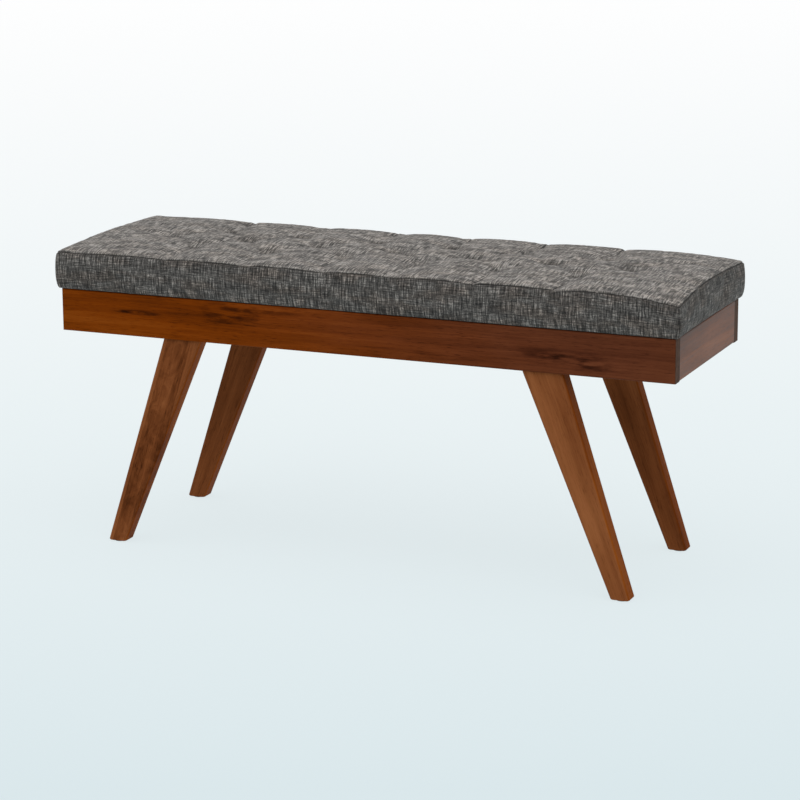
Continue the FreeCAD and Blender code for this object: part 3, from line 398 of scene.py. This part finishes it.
def linen(name, look):
    # Tone = warp slubs + weft slubs + single threads, each a noise drawn out along its thread;
    # height = product of two sine rows of threads.
    material, tree, surface = newMaterial(name)
    cloth = addNode(tree, "UVMap", uv_map="weave").outputs["UV"]
    flat = addNode(tree, "SeparateXYZ", {"Vector": cloth})
    slub = look["slub"]
    warp = noise(tree, mapped(tree, cloth, (1 / slub, look["warpLong"], 1)), detail=2, roughness=0.55)
    weft = noise(tree, mapped(tree, cloth, (look["weftLong"], 1 / slub, 1), (3.7, 1.9, 0)), detail=2,
                 roughness=0.55)
    heather = noise(tree, mapped(tree, cloth, (0.9 / slub, look["speck"], 1)), detail=2, roughness=0.6)
    patch = noise(tree, mapped(tree, cloth, (22, 60, 1), (7.1, 0, 0)), detail=3, roughness=0.6)
    tone = mathNode(tree, "MULTIPLY_ADD", warp, look["warp"], look["base"])
    tone = mathNode(tree, "MULTIPLY_ADD", weft, look["weft"], tone)
    tone = mathNode(tree, "MULTIPLY_ADD", heather, look["heather"], tone)
    tone = mathNode(tree, "MULTIPLY_ADD", patch, look["patch"], tone)
    thread = ramp(tree, tone, look["colours"])
    hue = noise(tree, mapped(tree, cloth, (14, 40, 1), (1.3, 5.2, 0)), detail=4, roughness=0.65)
    thread = mixColour(tree, stretch(tree, hue, 0.42, 0.62), thread, look["warmTint"], "MULTIPLY")
    # Painted shade: near-black mixed into the thread colour in the seam groove and tuft hollows (the
    # seamShade attribute), along the seam, at the corner seams and in the folds
    paintedShade = addNode(tree, "Attribute", attribute_name="seamShade").outputs["Fac"]
    gap = addNode(tree, "Attribute", attribute_name="seamGap").outputs["Fac"]
    seamGrooveShade = stretch(tree, mathNode(tree, "ABSOLUTE", gap), 0.0005, 0.0015, 0.95, 0)
    paintedShade = mathNode(tree, "MAXIMUM", paintedShade, seamGrooveShade)
    # The boxing panels meet at the corners, where X and Y are equally short of their full values; painted
    # shade draws a thin dark line down that corner seam below the top
    spot = addNode(tree, "SeparateXYZ", {"Vector": addNode(tree, "TexCoord").outputs["Object"]})
    corner = mathNode(tree, "SUBTRACT", mathNode(tree, "ABSOLUTE", spot.outputs["X"]),
                      mathNode(tree, "ABSOLUTE", spot.outputs["Y"]))
    corner = mathNode(tree, "ABSOLUTE", mathNode(tree, "SUBTRACT", corner, seat["halfX"] - seat["halfY"]))
    corner = mathNode(tree, "MULTIPLY", stretch(tree, corner, 0.0004, 0.0016, 0.6, 0),
                      stretch(tree, gap, -0.004, -0.002, 1, 0))
    paintedShade = mathNode(tree, "MAXIMUM", paintedShade, corner)
    if look["tufted"]:
        # Painted shade in the long folds and in the short folds around the tufts
        fold = tuftFolds(tree, flat)
        paintedShade = mathNode(tree, "MAXIMUM", paintedShade, foldShadeLines(tree, flat))
        paintedShade = mathNode(tree, "MAXIMUM", paintedShade, mathNode(tree, "MULTIPLY", fold, 0.6))
    thread = mixColour(tree, paintedShade, thread, (0.012, 0.011, 0.010))
    tree.links.new(thread, surface.inputs["Base Color"])
    surface.inputs["Roughness"].default_value = 0.85
    surface.inputs["Specular IOR Level"].default_value = 0.2
    surface.inputs["Sheen Weight"].default_value = look["sheen"]
    surface.inputs["Sheen Roughness"].default_value = 0.45
    surface.inputs["Sheen Tint"].default_value = colour(look["sheenTint"])
    turns = 2 * math.pi / look["pitch"]
    across = mathNode(tree, "SINE", mathNode(tree, "MULTIPLY", flat.outputs["X"], turns))
    upward = mathNode(tree, "SINE", mathNode(tree, "MULTIPLY", flat.outputs["Y"], turns))
    height = mathNode(tree, "MULTIPLY", across, upward)
    height = mathNode(tree, "MULTIPLY_ADD", height, 0.35, mathNode(tree, "MULTIPLY", warp, 1.1))
    height = mathNode(tree, "ADD", height, mathNode(tree, "MULTIPLY", weft, 0.9))
    if look["tufted"]:
        height = mathNode(tree, "MULTIPLY_ADD", fold, -3.0, height)
    bumped(tree, surface, height, look["bump"], 0.0006)
    return material


def foldShadeLines(tree, flat):
    # Painted shade of the long folds: a thin dark line that sways a little about its column and deepens
    # towards the seam
    x, y = flat.outputs["X"], flat.outputs["Y"]
    out = mathNode(tree, "ABSOLUTE", y)
    total = 0.0
    for column, side, start, strength in seat["folds"]:
        sway = mathNode(tree, "SINE", mathNode(tree, "MULTIPLY_ADD", out, 42, column * 50))
        sway = mathNode(tree, "MULTIPLY", sway, 0.0022)
        offset = mathNode(tree, "SUBTRACT", mathNode(tree, "SUBTRACT", x, column), sway)
        line = mathNode(tree, "MULTIPLY", stretch(tree, mathNode(tree, "ABSOLUTE", offset), 0.0005, 0.0017,
                                                  strength, 0), stretch(tree, out, start, start + 0.022))
        line = mathNode(tree, "MULTIPLY", line, stretch(tree, y, -0.01 * side, 0.01 * side))
        total = mathNode(tree, "MAXIMUM", line, total)
    return total


def tuftFolds(tree, flat):
    # Short folds that run out from each tuft: thin lines where a noise that changes only with the
    # direction from the nearest tuft crosses its middle, kept to a ring around the tuft
    pitch, row = seat["pitch"], seat["row"]
    x, y = flat.outputs["X"], flat.outputs["Y"]
    alongA = mathNode(tree, "MULTIPLY_ADD", x, 1 / pitch, mathNode(tree, "MULTIPLY", y, 0.5 / row))
    alongB = mathNode(tree, "MULTIPLY_ADD", x, 1 / pitch, mathNode(tree, "MULTIPLY", y, -0.5 / row))
    nearA, nearB = mathNode(tree, "ROUND", alongA), mathNode(tree, "ROUND", alongB)
    offA = mathNode(tree, "SUBTRACT", alongA, nearA)
    offB = mathNode(tree, "SUBTRACT", alongB, nearB)
    dx = mathNode(tree, "MULTIPLY", mathNode(tree, "ADD", offA, offB), pitch / 2)
    dy = mathNode(tree, "MULTIPLY", mathNode(tree, "SUBTRACT", offA, offB), row)
    away = addNode(tree, "CombineXYZ", {"X": dx, "Y": dy})
    reach = addNode(tree, "VectorMath", {0: away.outputs[0]}, operation="LENGTH").outputs["Value"]
    toward = addNode(tree, "VectorMath", {0: away.outputs[0]}, operation="NORMALIZE")
    which = mathNode(tree, "MULTIPLY_ADD", nearA, 1.7, mathNode(tree, "MULTIPLY", nearB, 3.1))
    lift = addNode(tree, "CombineXYZ", {"Z": which})
    turned = addNode(tree, "VectorMath", {0: toward.outputs[0], 1: lift.outputs[0]}, operation="ADD")
    wave = noise(tree, turned.outputs[0], scale=1.5, detail=1)
    line = stretch(tree, mathNode(tree, "ABSOLUTE", mathNode(tree, "SUBTRACT", wave, 0.5)), 0.006, 0.04, 1, 0)
    ring = mathNode(tree, "MULTIPLY", stretch(tree, reach, 0.002, 0.006),
                    stretch(tree, reach, 0.010, 0.026, 1, 0))
    inside = mathNode(tree, "MULTIPLY", stretch(tree, mathNode(tree, "ABSOLUTE", y), 0.094, 0.104, 1, 0),
                      stretch(tree, mathNode(tree, "ABSOLUTE", x), 0.415, 0.43, 1, 0))
    return mathNode(tree, "MULTIPLY", mathNode(tree, "MULTIPLY", line, ring), inside)


linenColours = [(0.10, (0.010, 0.009, 0.009)), (0.40, (0.048, 0.045, 0.042)),
                (0.62, (0.118, 0.109, 0.101)), (0.92, (0.400, 0.372, 0.342))]
linenLook = {"pitch": 0.0013, "slub": 0.0021, "speck": 400, "warpLong": 45, "weftLong": 50, "warp": 1.25,
             "weft": 0.8, "heather": 0.6, "patch": 0.3, "base": -0.975, "colours": linenColours,
             "warmTint": (1.0, 0.92, 0.87), "sheen": 0.05, "sheenTint": (0.9, 0.9, 0.88), "bump": 0.35,
             "tufted": False}
# The top panel's linen is a paler, more contrasting copy of the boxing's; its paleness is painted light, for
# the top that faces the lamps
topLook = dict(linenLook, slub=0.0022, speck=130, warpLong=36, warp=1.45, weft=0.8, heather=0.7, patch=0.7,
               base=-1.16, sheen=0.14, warmTint=(1.0, 0.965, 0.935), bump=0.32, tufted=True)
sideLinen = linen("linenBoxing", linenLook)
topLinen = linen("linenTop", topLook)
dustLook = {"colours": [(0.3, (0.012, 0.012, 0.013)), (0.7, (0.030, 0.030, 0.032))], "grain": 900,
            "roughness": 0.9, "bump": 0.4}
dustFelt = moulded("dustFelt", dustLook)


# Seat cushion: the shell of its cover

def gridLines():
    # Stations along and across the top: closer together at the tufts' columns and at the seam
    half = seat["pitch"] / 2
    cell = [0.0014, 0.0060, 0.0116, 0.0173, 0.0230, 0.0280, 0.0330]
    cell = np.array(cell + [half - gap for gap in reversed(cell[:-1])] + [half])
    along = np.concatenate([[0.0]] + [count * half + cell for count in range(6)])
    past = np.linspace(seat["lastTuft"], seat["halfX"] - 0.0025, 25)[1:]
    past = np.concatenate([[seat["lastTuft"] + 0.0014], past, [seat["halfX"]]])
    along = np.concatenate([along, past])
    across = np.concatenate([np.linspace(0, seat["row"], 13),
                             np.linspace(seat["row"], seat["halfY"] - 0.0025, 18)[1:], [seat["halfY"]]])
    return (np.concatenate([-along[:0:-1], along]), np.concatenate([-across[:0:-1], across]))


def planPlace(x, y, tuck):
    # Rectangle to seat outline: the corner squares are bent into quarter discs,
    # then each side's middle is drawn in and the whole is tucked in by tuck
    radius = seat["cornerRound"]
    inX = np.clip((np.abs(x) - (seat["halfX"] - radius)) / radius, 0, 1)
    inY = np.clip((np.abs(y) - (seat["halfY"] - radius)) / radius, 0, 1)
    bothIn = (inX > 0) & (inY > 0)
    roundX = seat["halfX"] - radius + radius * inX * np.sqrt(1 - inY ** 2 / 2)
    roundY = seat["halfY"] - radius + radius * inY * np.sqrt(1 - inX ** 2 / 2)
    newX, newY = np.where(bothIn, roundX, np.abs(x)), np.where(bothIn, roundY, np.abs(y))
    shareX = np.abs(x) / seat["halfX"]
    shareY = np.abs(y) / seat["halfY"]
    newX = newX * (1 - tuck / seat["halfX"]) - seat["drawIn"] * shareX ** 6 * np.clip(1 - shareY ** 2, 0, 1)
    newY = newY * (1 - tuck / seat["halfY"]) - seat["drawIn"] * shareY ** 6 * np.clip(1 - shareX ** 2, 0, 1)
    return np.sign(x) * newX, np.sign(y) * newY


def crownHeight(x, y):
    # Crests of the pillows: fall with the square of the way out to the sides, ends and corners
    across = np.abs(y) / seat["halfY"]
    beyond = np.clip((np.abs(x) - seat["lastTuft"]) / (seat["halfX"] - seat["lastTuft"]), 0, 1)
    side, end = (y > 0).astype(int), (x > 0).astype(int)
    fall = np.array(seat["sideFall"])[side] * across ** 2 + np.array(seat["endFall"])[end] * beyond ** 2
    return seat["crown"] - fall - np.array(seat["cornerFall"])[end, side] * beyond ** 2 * across ** 2


def pillowShare(x, y):
    # 0 on a crease and 1 in a pillow's middle. Between the tuft rows creases run along the diagonals
    # where a or b is whole; outside the rows they run straight to the seam.
    a = np.clip(x / seat["pitch"] + y / (2 * seat["row"]), -3.5, 3.5)
    b = np.clip(x / seat["pitch"] - y / (2 * seat["row"]), -3.5, 3.5)
    between = np.sqrt(np.abs(np.sin(np.pi * a) * np.sin(np.pi * b)))
    outside = np.abs(np.cos(np.pi * np.clip(x, -seat["lastTuft"], seat["lastTuft"]) / seat["pitch"]))
    nearRow = np.abs(y) <= seat["row"]
    tuft = np.where(nearRow, (np.cos(np.pi * a) * np.cos(np.pi * b)) ** 2,
                    (1 - outside ** 2) * np.exp(-((np.abs(y) - seat["row"]) / 0.022) ** 2))
    return np.where(nearRow, between, outside), tuft ** 6


def topHeight(x, y):
    # Crest - creases - tufts - the room left for swelling + the puff behind the left end's seam
    pillow, tuft = pillowShare(x, y)
    edge = np.clip((seat["halfY"] - np.abs(y)) / seat["edgeBand"], 0, 1)
    crease = seat["seamDip"] + (seat["creaseDepth"] - seat["seamDip"]) * edge
    ends = np.clip((seat["halfX"] - np.abs(x)) / seat["edgeBand"], 0, 1)
    swell = seat["beforeSwell"] * pillow ** 0.5 * edge * ends
    puff = seat["endPuff"] * (1 - ends) * np.clip(ends * 3, 0, 1) * (x < 0)
    return crownHeight(x, y) - crease * (1 - pillow) - (seat["tuftDepth"] - crease) * tuft - swell + puff


def gridQuads(index):
    # The four-sided faces of a grid of point numbers
    corners = [index[:-1, :-1], index[1:, :-1], index[1:, 1:], index[:-1, 1:]]
    return np.stack(corners, axis=-1).reshape(-1, 4)


def seatShell():
    # Rings of the same count, from the top seam down the boxing, under the hem, over the hem's
    # upper side, up beside the seat board and over it. Returns points, rings, faces and UVs.
    xs, ys = gridLines()
    countX, countY = len(xs), len(ys)
    gridX, gridY = np.meshgrid(xs, ys, indexing="ij")
    edgeShare = np.maximum(np.abs(gridX) / seat["halfX"], np.abs(gridY) / seat["halfY"])
    topX, topY = planPlace(gridX, gridY, seat["seamTuck"])
    topZ = topHeight(gridX, gridY)
    index = np.arange(countX * countY).reshape(countX, countY)
    loop = np.concatenate([index[:-1, 0], index[-1, :-1], index[:0:-1, -1], index[0, :0:-1]])
    rimX, rimY = gridX.ravel()[loop], gridY.ravel()[loop]
    rimZ = topZ.ravel()[loop]
    fullX, fullY = planPlace(rimX, rimY, 0.0)
    turnX, turnY = np.roll(fullX, -1) - np.roll(fullX, 1), np.roll(fullY, -1) - np.roll(fullY, 1)
    length = np.hypot(turnX, turnY)
    outX, outY = turnY / length, -turnX / length
    run = np.concatenate([[0], np.cumsum(np.hypot(np.diff(fullX), np.diff(fullY)))])

    rings, depths = [], []
    for share in seat["boxingShares"]:
        z = rimZ + (seat["bottom"] - rimZ) * share
        above = np.clip((z - seat["full"]) / (rimZ - seat["full"]), 0, 1)
        below = np.clip((seat["full"] - z) / (seat["full"] - seat["bottom"]), 0, 1)
        inset = seat["seamTuck"] * above ** 2 + seat["bottomTuck"] * below ** 3
        if share == 1.0:
            inset = inset + seat["hemCurl"]
        rings.append(np.stack([fullX - inset * outX, fullY - inset * outY, z], axis=1))
        depths.append(share * seat["boxing"])
    low = rings[-1]
    hem = np.stack([fullX * seat["hemX"] / seat["halfX"], fullY * seat["hemY"] / seat["halfY"], low[:, 2]], 1)
    for share in (0.06, 0.5, 1.0):
        rings.append(low + (hem - low) * share)
        depths.append(seat["boxing"] + seat["hemTurn"] * share)
    wall = np.stack([fullX - seat["boardGap"] * outX, fullY - seat["boardGap"] * outY], axis=1)
    for plan, z in ((hem[:, :2], seat["hemTop"]), (wall, seat["hemTop"]), (wall, seat["boardTop"])):
        rings.append(np.column_stack([plan, np.full(len(plan), z)]))
        depths.append(depths[-1] + 0.02)

    points = np.concatenate([np.stack([topX.ravel(), topY.ravel(), topZ.ravel()], axis=1)] + rings)
    size = len(loop)
    ringIndex = [loop] + [index.size + size * count + np.arange(size) for count in range(len(rings))]
    quads = gridQuads(index)
    plane = np.stack([gridX.ravel(), gridY.ravel()], axis=1)
    groups, groupUv = [quads], [plane[quads]]
    ends = np.append(run, run[-1] + math.hypot(fullX[-1] - fullX[0], fullY[-1] - fullY[0]))
    levels = [0.0] + depths
    for upper, lower, high, deep in zip(ringIndex[:-1], ringIndex[1:], levels[:-1], levels[1:]):
        groups.append(np.stack([upper, lower, np.roll(lower, -1), np.roll(upper, -1)], axis=1))
        corners = [(ends[:-1], high), (ends[:-1], deep), (ends[1:], deep), (ends[1:], high)]
        groupUv.append(np.stack([np.stack([u, np.full(size, 2 - v)], 1) for u, v in corners], axis=1))
    # Over the board: strips from front to back, and a sliver at each end
    last, far = ringIndex[-1], 2 * (countX - 1) + countY - 1
    front, back = last[:countX], last[far - np.arange(countX)]
    groups.append(np.stack([front[:-1], back[:-1], back[1:], front[1:]], axis=1))
    groupUv.append(points[groups[-1]][:, :, :2])
    slivers = [np.append(last[far:], last[0])[::-1], last[countX - 1:countX + countY - 1][::-1]]
    faces = np.concatenate(groups)
    uvs = np.concatenate(groupUv).reshape(-1, 2)
    return {"points": points, "faces": faces, "uvs": uvs, "slivers": slivers,
            "rings": ringIndex, "topFaces": len(quads), "topCount": index.size, "grid": (gridX, gridY),
            "edgeShare": edgeShare}


def seatMesh(shell):
    mesh = bpy.data.meshes.new("seat_cushion")
    faces = shell["faces"].tolist() + [sliver.tolist() for sliver in shell["slivers"]]
    mesh.from_pydata(shell["points"].tolist(), [], faces)
    layer = mesh.uv_layers.new(name="weave")
    uvs = [shell["uvs"]] + [shell["points"][sliver][:, :2] for sliver in shell["slivers"]]
    layer.data.foreach_set("uv", np.concatenate(uvs).ravel().astype(np.float32))
    kinds = np.ones(len(faces), dtype=np.int32)
    kinds[:shell["topFaces"]] = 0
    mesh.materials.append(topLinen)
    mesh.materials.append(sideLinen)
    mesh.polygons.foreach_set("material_index", kinds)
    mesh.polygons.foreach_set("use_smooth", np.ones(len(faces), dtype=bool))
    return mesh


def holdWeights(shell):
    # 1 keeps a point where it is and 0 leaves it free: tufts, creases, seam and base are held
    weights = np.zeros(len(shell["points"]))
    gridX, gridY = shell["grid"]
    pillow, tuft = pillowShare(gridX, gridY)
    inTufts = np.abs(gridX) < seat["lastTuft"] + 0.002
    top = np.where(tuft > 0.9, 1.0, 0.0)
    top = np.maximum(top, np.where((pillow < 0.06) & inTufts, 0.35, 0.0))
    top = np.maximum(top, np.where(shell["edgeShare"] > 0.9999, 0.5, 0.0))
    weights[:shell["topCount"]] = top.ravel()
    rings = shell["rings"]
    sides = [0.25, 0.06, 0.03, 0.02, 0.02, 0.02, 0.02, 0.03, 0.06, 0.15, 0.4, 0.8]
    for ring, weight in zip(rings[1:], sides + [1.0] * (len(rings) - 1 - len(sides))):
        weights[ring] = weight
    return weights


clothStiffness = {"quality": 5, "mass": 0.3, "tension_stiffness": 12, "compression_stiffness": 12,
                  "shear_stiffness": 5, "bending_stiffness": 0.4, "pin_stiffness": 1.0}


def swellCloth(piece, weights, look):
    # Cloth held at its seams and tufts and blown up from inside; returns how far each point went
    start = np.empty(len(piece.data.vertices) * 3)
    piece.data.vertices.foreach_get("co", start)
    group = piece.vertex_groups.new(name="held")
    for level in np.unique(weights):
        if level > 0:
            group.add(np.flatnonzero(weights == level).tolist(), float(level), "REPLACE")
    cloth = piece.modifiers.new("Cloth", "CLOTH")
    settings = cloth.settings
    for key, value in clothStiffness.items():
        setattr(settings, key, value)
    settings.vertex_group_mass = "held"
    settings.shrink_min = look["shrink"]
    settings.use_pressure = True
    settings.uniform_pressure_force = look["pressure"]
    settings.effector_weights.gravity = 0
    cloth.collision_settings.use_collision = False
    cloth.collision_settings.use_self_collision = False
    cloth.point_cache.frame_start = 1
    cloth.point_cache.frame_end = look["frames"]
    scene = bpy.context.scene
    for step in range(1, look["frames"] + 1):
        scene.frame_set(step)
    shaped = piece.evaluated_get(bpy.context.evaluated_depsgraph_get()).to_mesh()
    end = np.empty(len(shaped.vertices) * 3)
    shaped.vertices.foreach_get("co", end)
    piece.evaluated_get(bpy.context.evaluated_depsgraph_get()).to_mesh_clear()
    piece.modifiers.remove(cloth)
    piece.vertex_groups.remove(group)
    scene.frame_set(1)
    moved = (end - start).reshape(-1, 3)
    far = np.linalg.norm(moved, axis=1, keepdims=True)
    eased = look["cap"] * np.tanh(far / look["cap"])
    return moved * eased / np.maximum(far, 1e-9)


shell = seatShell()
cushionMesh = seatMesh(shell)
cushion = bpy.data.objects.new("seat_cushion", cushionMesh)
bpy.context.scene.collection.objects.link(cushion)
print("cushion shell:", len(cushionMesh.vertices), "points")

moved = swellCloth(cushion, holdWeights(shell), seat)
swollen = shell["points"] + moved
cushionMesh.vertices.foreach_set("co", swollen.ravel())
cushionMesh.update()
print("cushion swollen: farthest %.1f mm" % (1000 * np.abs(moved).max()))

# Edges from the hem inwards stay sharp when the mesh is subdivided
rings = shell["rings"]
boxingRings = len(seat["boxingShares"])
hemStart = int(rings[boxingRings + 1][0])
edges = np.empty(len(cushionMesh.edges) * 2, dtype=np.int32)
cushionMesh.edges.foreach_get("vertices", edges)
sharp = (edges.reshape(-1, 2) >= hemStart).all(axis=1).astype(np.float32)
cushionMesh.attributes.new("crease_edge", "FLOAT", "EDGE").data.foreach_set("value", sharp)

# Each point's distance from the top seam, carried through subdivision: positive on top, negative below
gridX, gridY = shell["grid"]
seamGap = np.full(len(shell["points"]), 0.2)
topGap = np.minimum(seat["halfX"] - np.abs(gridX), seat["halfY"] - np.abs(gridY))
seamGap[:shell["topCount"]] = topGap.ravel()
for share, ring in zip(seat["boxingShares"], rings[1:boxingRings + 1]):
    seamGap[ring] = -seat["boxing"] * share
gapLayer = cushionMesh.attributes.new("seamGap", "FLOAT", "POINT")
gapLayer.data.foreach_set("value", seamGap.astype(np.float32))

finer = cushion.modifiers.new("Subdivision", "SUBSURF")
finer.levels = 1
finer.render_levels = 1
bpy.context.view_layer.update()
fineMesh = bpy.data.meshes.new_from_object(cushion.evaluated_get(bpy.context.evaluated_depsgraph_get()))
cushion.modifiers.clear()
cushion.data = fineMesh
fineMesh.name = "seat_cushion"


# Strength and width in metres; the roll's middle place is its distance from the seam
seamDetail = {"groove": (0.0015, 0.0013), "roll": (0.0005, 0.0038, 0.0018), "pucker": (0.00018, 0.007),
              "fold": (0.0014, 0.003)}


def detailCushion(mesh):
    # Shift along the normal = roll beside the seam - seam groove + stitch puckers - folds;
    # the seam groove is also darkened with painted shade, and the hollows around tufts and creases get
    # painted shade only
    groove, grooveWide = seamDetail["groove"]
    roll, rollAway, rollWide = seamDetail["roll"]
    pucker, puckerWide = seamDetail["pucker"]
    fold, foldWide = seamDetail["fold"]
    count = len(mesh.vertices)
    spots = np.empty(count * 3)
    mesh.vertices.foreach_get("co", spots)
    spots = spots.reshape(-1, 3)
    normals = np.empty(count * 3, dtype=np.float32)
    mesh.vertex_normals.foreach_get("vector", normals)
    normals = normals.reshape(-1, 3).astype(float)
    gap = np.empty(count, dtype=np.float32)
    mesh.attributes["seamGap"].data.foreach_get("value", gap)
    x, y = spots[:, 0], spots[:, 1]
    near = np.abs(gap)
    ripple = np.sin(x * 870 + 3 * np.sin(x * 31)) * np.sin(y * 640 + 2 * np.sin(y * 23) + 1.3)
    inGroove = np.exp(-(near / grooveWide) ** 2)
    move = roll * np.exp(-((near - rollAway) / rollWide) ** 2) - groove * inGroove
    move = move + pucker * ripple * np.exp(-(near / puckerWide) ** 2)
    # Painted shade: dark in the seam groove, and in the hollows around tufts and creases on top
    shade = 0.95 * inGroove
    onTop = gap > 0.0005
    pillow, tuft = pillowShare(x, y)
    inRows = np.clip((0.095 - np.abs(y)) / 0.025, 0, 1) * (np.abs(x) < seat["lastTuft"] + 0.01)
    hollowShade = 0.42 * inRows * np.exp(-(pillow / 0.20) ** 2) + 0.45 * tuft
    shade = np.maximum(shade, onTop * np.clip(hollowShade, 0, 0.75))
    for column, side, start, strength in seat["folds"]:
        # Each fold is pressed in a little along its column
        away = np.abs(x - column)
        run = np.clip((np.abs(y) - start) / 0.02, 0, 1) * (np.sign(y) == side) * onTop
        move = move - fold * strength * run * np.exp(-(away / foldWide) ** 2)
    spots = spots + normals * move[:, None]
    mesh.vertices.foreach_set("co", spots.ravel())
    shadeLayer = mesh.attributes.new("seamShade", "FLOAT", "POINT")
    shadeLayer.data.foreach_set("value", np.clip(shade, 0, 1).astype(np.float32))
    mesh.update()


detailCushion(fineMesh)
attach(cushion, "root")
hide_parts("cover_top_panel", "cover_front_boxing", "cover_back_boxing", "cover_left_boxing",
            "cover_right_boxing", "foam_pad", "wadding_sheet")
print("cushion:", len(fineMesh.polygons), "faces")


# Dust cover under the seat

dust = {"halfX": 0.5152, "halfY": 0.1572, "low": 0.42015, "thick": 0.0003, "sag": 0.0011,
        "openX": 0.43, "openY": 0.118, "stations": (181, 57), "pull": 0.0003, "staplePitch": 0.060}


def dustSheet():
    # A flat grid that sags a little where nothing lies under it, with faint pulls between its staples
    xs = np.linspace(-dust["halfX"], dust["halfX"], dust["stations"][0])
    ys = np.linspace(-dust["halfY"], dust["halfY"], dust["stations"][1])
    x, y = np.meshgrid(xs, ys, indexing="ij")
    loose = np.clip(1 - (x / dust["openX"]) ** 2, 0, 1) * np.clip(1 - (y / dust["openY"]) ** 2, 0, 1)
    nearEdge = np.clip(1 - np.abs(np.abs(y) - 0.10) / 0.05, 0, 1)
    pulls = dust["pull"] * np.cos(x * 2 * np.pi / dust["staplePitch"]) * nearEdge
    z = dust["low"] - dust["sag"] * loose ** 0.6 - pulls * loose
    quads = gridQuads(np.arange(x.size).reshape(x.shape))
    mesh = bpy.data.meshes.new("dust_cover_cloth")
    mesh.from_pydata(np.stack([x.ravel(), y.ravel(), z.ravel()], 1).tolist(), [], quads.tolist())
    mesh.polygons.foreach_set("use_smooth", np.ones(len(quads), dtype=bool))
    mesh.materials.append(dustFelt)
    return mesh


dustCloth = bpy.data.objects.new("dust_cover_cloth", dustSheet())
bpy.context.scene.collection.objects.link(dustCloth)
thicken = dustCloth.modifiers.new("Solidify", "SOLIDIFY")
thicken.thickness = dust["thick"]
thicken.offset = 1
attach(dustCloth, "root")
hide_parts("dust_cover")
print("dust cover placed")


# Floor, light and camera

studio = {
    "floorReach": 40.0, "lens": 130.467, "place": (1.7843, -4.1913, 1.3618),
    "yaw": 0.4015, "pitch": 0.2408, "roll": -0.0058,
    "eyeAway": 4.555,                        # level distance from the camera to the bench's middle
    "floorGlow": 0.89, "floorShade": (0.10, 0.10, 0.10),
    "floorTints": [(0.0, (0.99, 0.99, 0.99)), (0.5, (0.82, 0.885, 0.90)), (1.0, (0.70, 0.80, 0.83))],
    "world": (0.96, 0.98, 1.0), "worldStrength": 0.34,
    # each lamp: name, where it shines from, strength, angle
    "lamps": [("keyLamp", (0.10, -0.28, 1.0), 2.1, 1.5), ("rightLamp", (1.0, -0.35, 0.45), 0.15, 1.3),
              ("leftLamp", (-0.7, -0.6, 0.5), 0.35, 1.3)],
}


def makeFloor():
    # One large square; its tint pales with the way behind the bench, a painted light falloff as on a lit
    # sweep. It glows with that tint as painted light, and its diffuse part is dimmed to a tenth, so the bench
    # casts only a faint shadow
    reach = studio["floorReach"]
    mesh = bpy.data.meshes.new("studio_floor")
    corners = [(-reach, -reach, 0), (reach, -reach, 0), (reach, reach, 0), (-reach, reach, 0)]
    mesh.from_pydata(corners, [], [(0, 1, 2, 3)])
    floor = bpy.data.objects.new("studio_floor", mesh)
    bpy.context.scene.collection.objects.link(floor)
    material, tree, surface = newMaterial("paleFloor")
    place = addNode(tree, "TexCoord").outputs["Object"]
    # How steeply the camera looks down on each spot: its height over the level way to the spot,
    # with 0.1 to 0.4 spread over the tints
    ahead = (-math.sin(studio["yaw"]), math.cos(studio["yaw"]), 0)
    behind = addNode(tree, "VectorMath", {0: place, 1: ahead}, operation="DOT_PRODUCT").outputs["Value"]
    level = mathNode(tree, "MAXIMUM", mathNode(tree, "ADD", behind, studio["eyeAway"]), 0.5)
    slope = mathNode(tree, "DIVIDE", studio["place"][2], level)
    paint = ramp(tree, mathNode(tree, "MULTIPLY_ADD", slope, 3.333, -0.333), studio["floorTints"])
    shaded = mixColour(tree, 1.0, paint, studio["floorShade"], "MULTIPLY")
    tree.links.new(shaded, surface.inputs["Base Color"])
    tree.links.new(paint, surface.inputs["Emission Color"])
    surface.inputs["Emission Strength"].default_value = studio["floorGlow"]
    surface.inputs["Roughness"].default_value = 0.9
    surface.inputs["Specular IOR Level"].default_value = 0.1
    mesh.materials.append(material)


def lightScene():
    world = bpy.data.worlds.new("studio")
    bpy.context.scene.world = world
    world.use_nodes = True
    back = world.node_tree.nodes["Background"]
    back.inputs["Color"].default_value = colour(studio["world"])
    back.inputs["Strength"].default_value = studio["worldStrength"]
    for name, toward, power, spread in studio["lamps"]:
        lamp = bpy.data.lights.new(name, "SUN")
        lamp.energy = power
        lamp.angle = spread
        holder = bpy.data.objects.new(name, lamp)
        holder.rotation_euler = Vector(toward).to_track_quat("Z", "Y").to_euler()
        bpy.context.scene.collection.objects.link(holder)


def aimCamera():
    # Turned by yaw about Z, tipped down by pitch and rolled slightly, from the photograph's perspective
    yaw, pitch, roll = studio["yaw"], studio["pitch"], studio["roll"]
    back = Vector((math.sin(yaw) * math.cos(pitch), -math.cos(yaw) * math.cos(pitch), math.sin(pitch)))
    right = (-back).cross(Vector((0, 0, 1))).normalized()
    up = right.cross(-back)
    rolledRight = math.cos(roll) * right + math.sin(roll) * up
    rolledUp = -math.sin(roll) * right + math.cos(roll) * up
    view = bpy.data.cameras.new("photoView")
    view.lens = studio["lens"]
    view.sensor_width = 36
    view.clip_end = 100
    camera = bpy.data.objects.new("photoView", view)
    turn = Matrix((rolledRight, rolledUp, back)).transposed().to_4x4()
    camera.matrix_world = Matrix.Translation(studio["place"]) @ turn
    bpy.context.scene.collection.objects.link(camera)
    bpy.context.scene.camera = camera


makeFloor()
lightScene()
aimCamera()
bpy.context.scene.view_settings.view_transform = "Standard"
print("studio set")
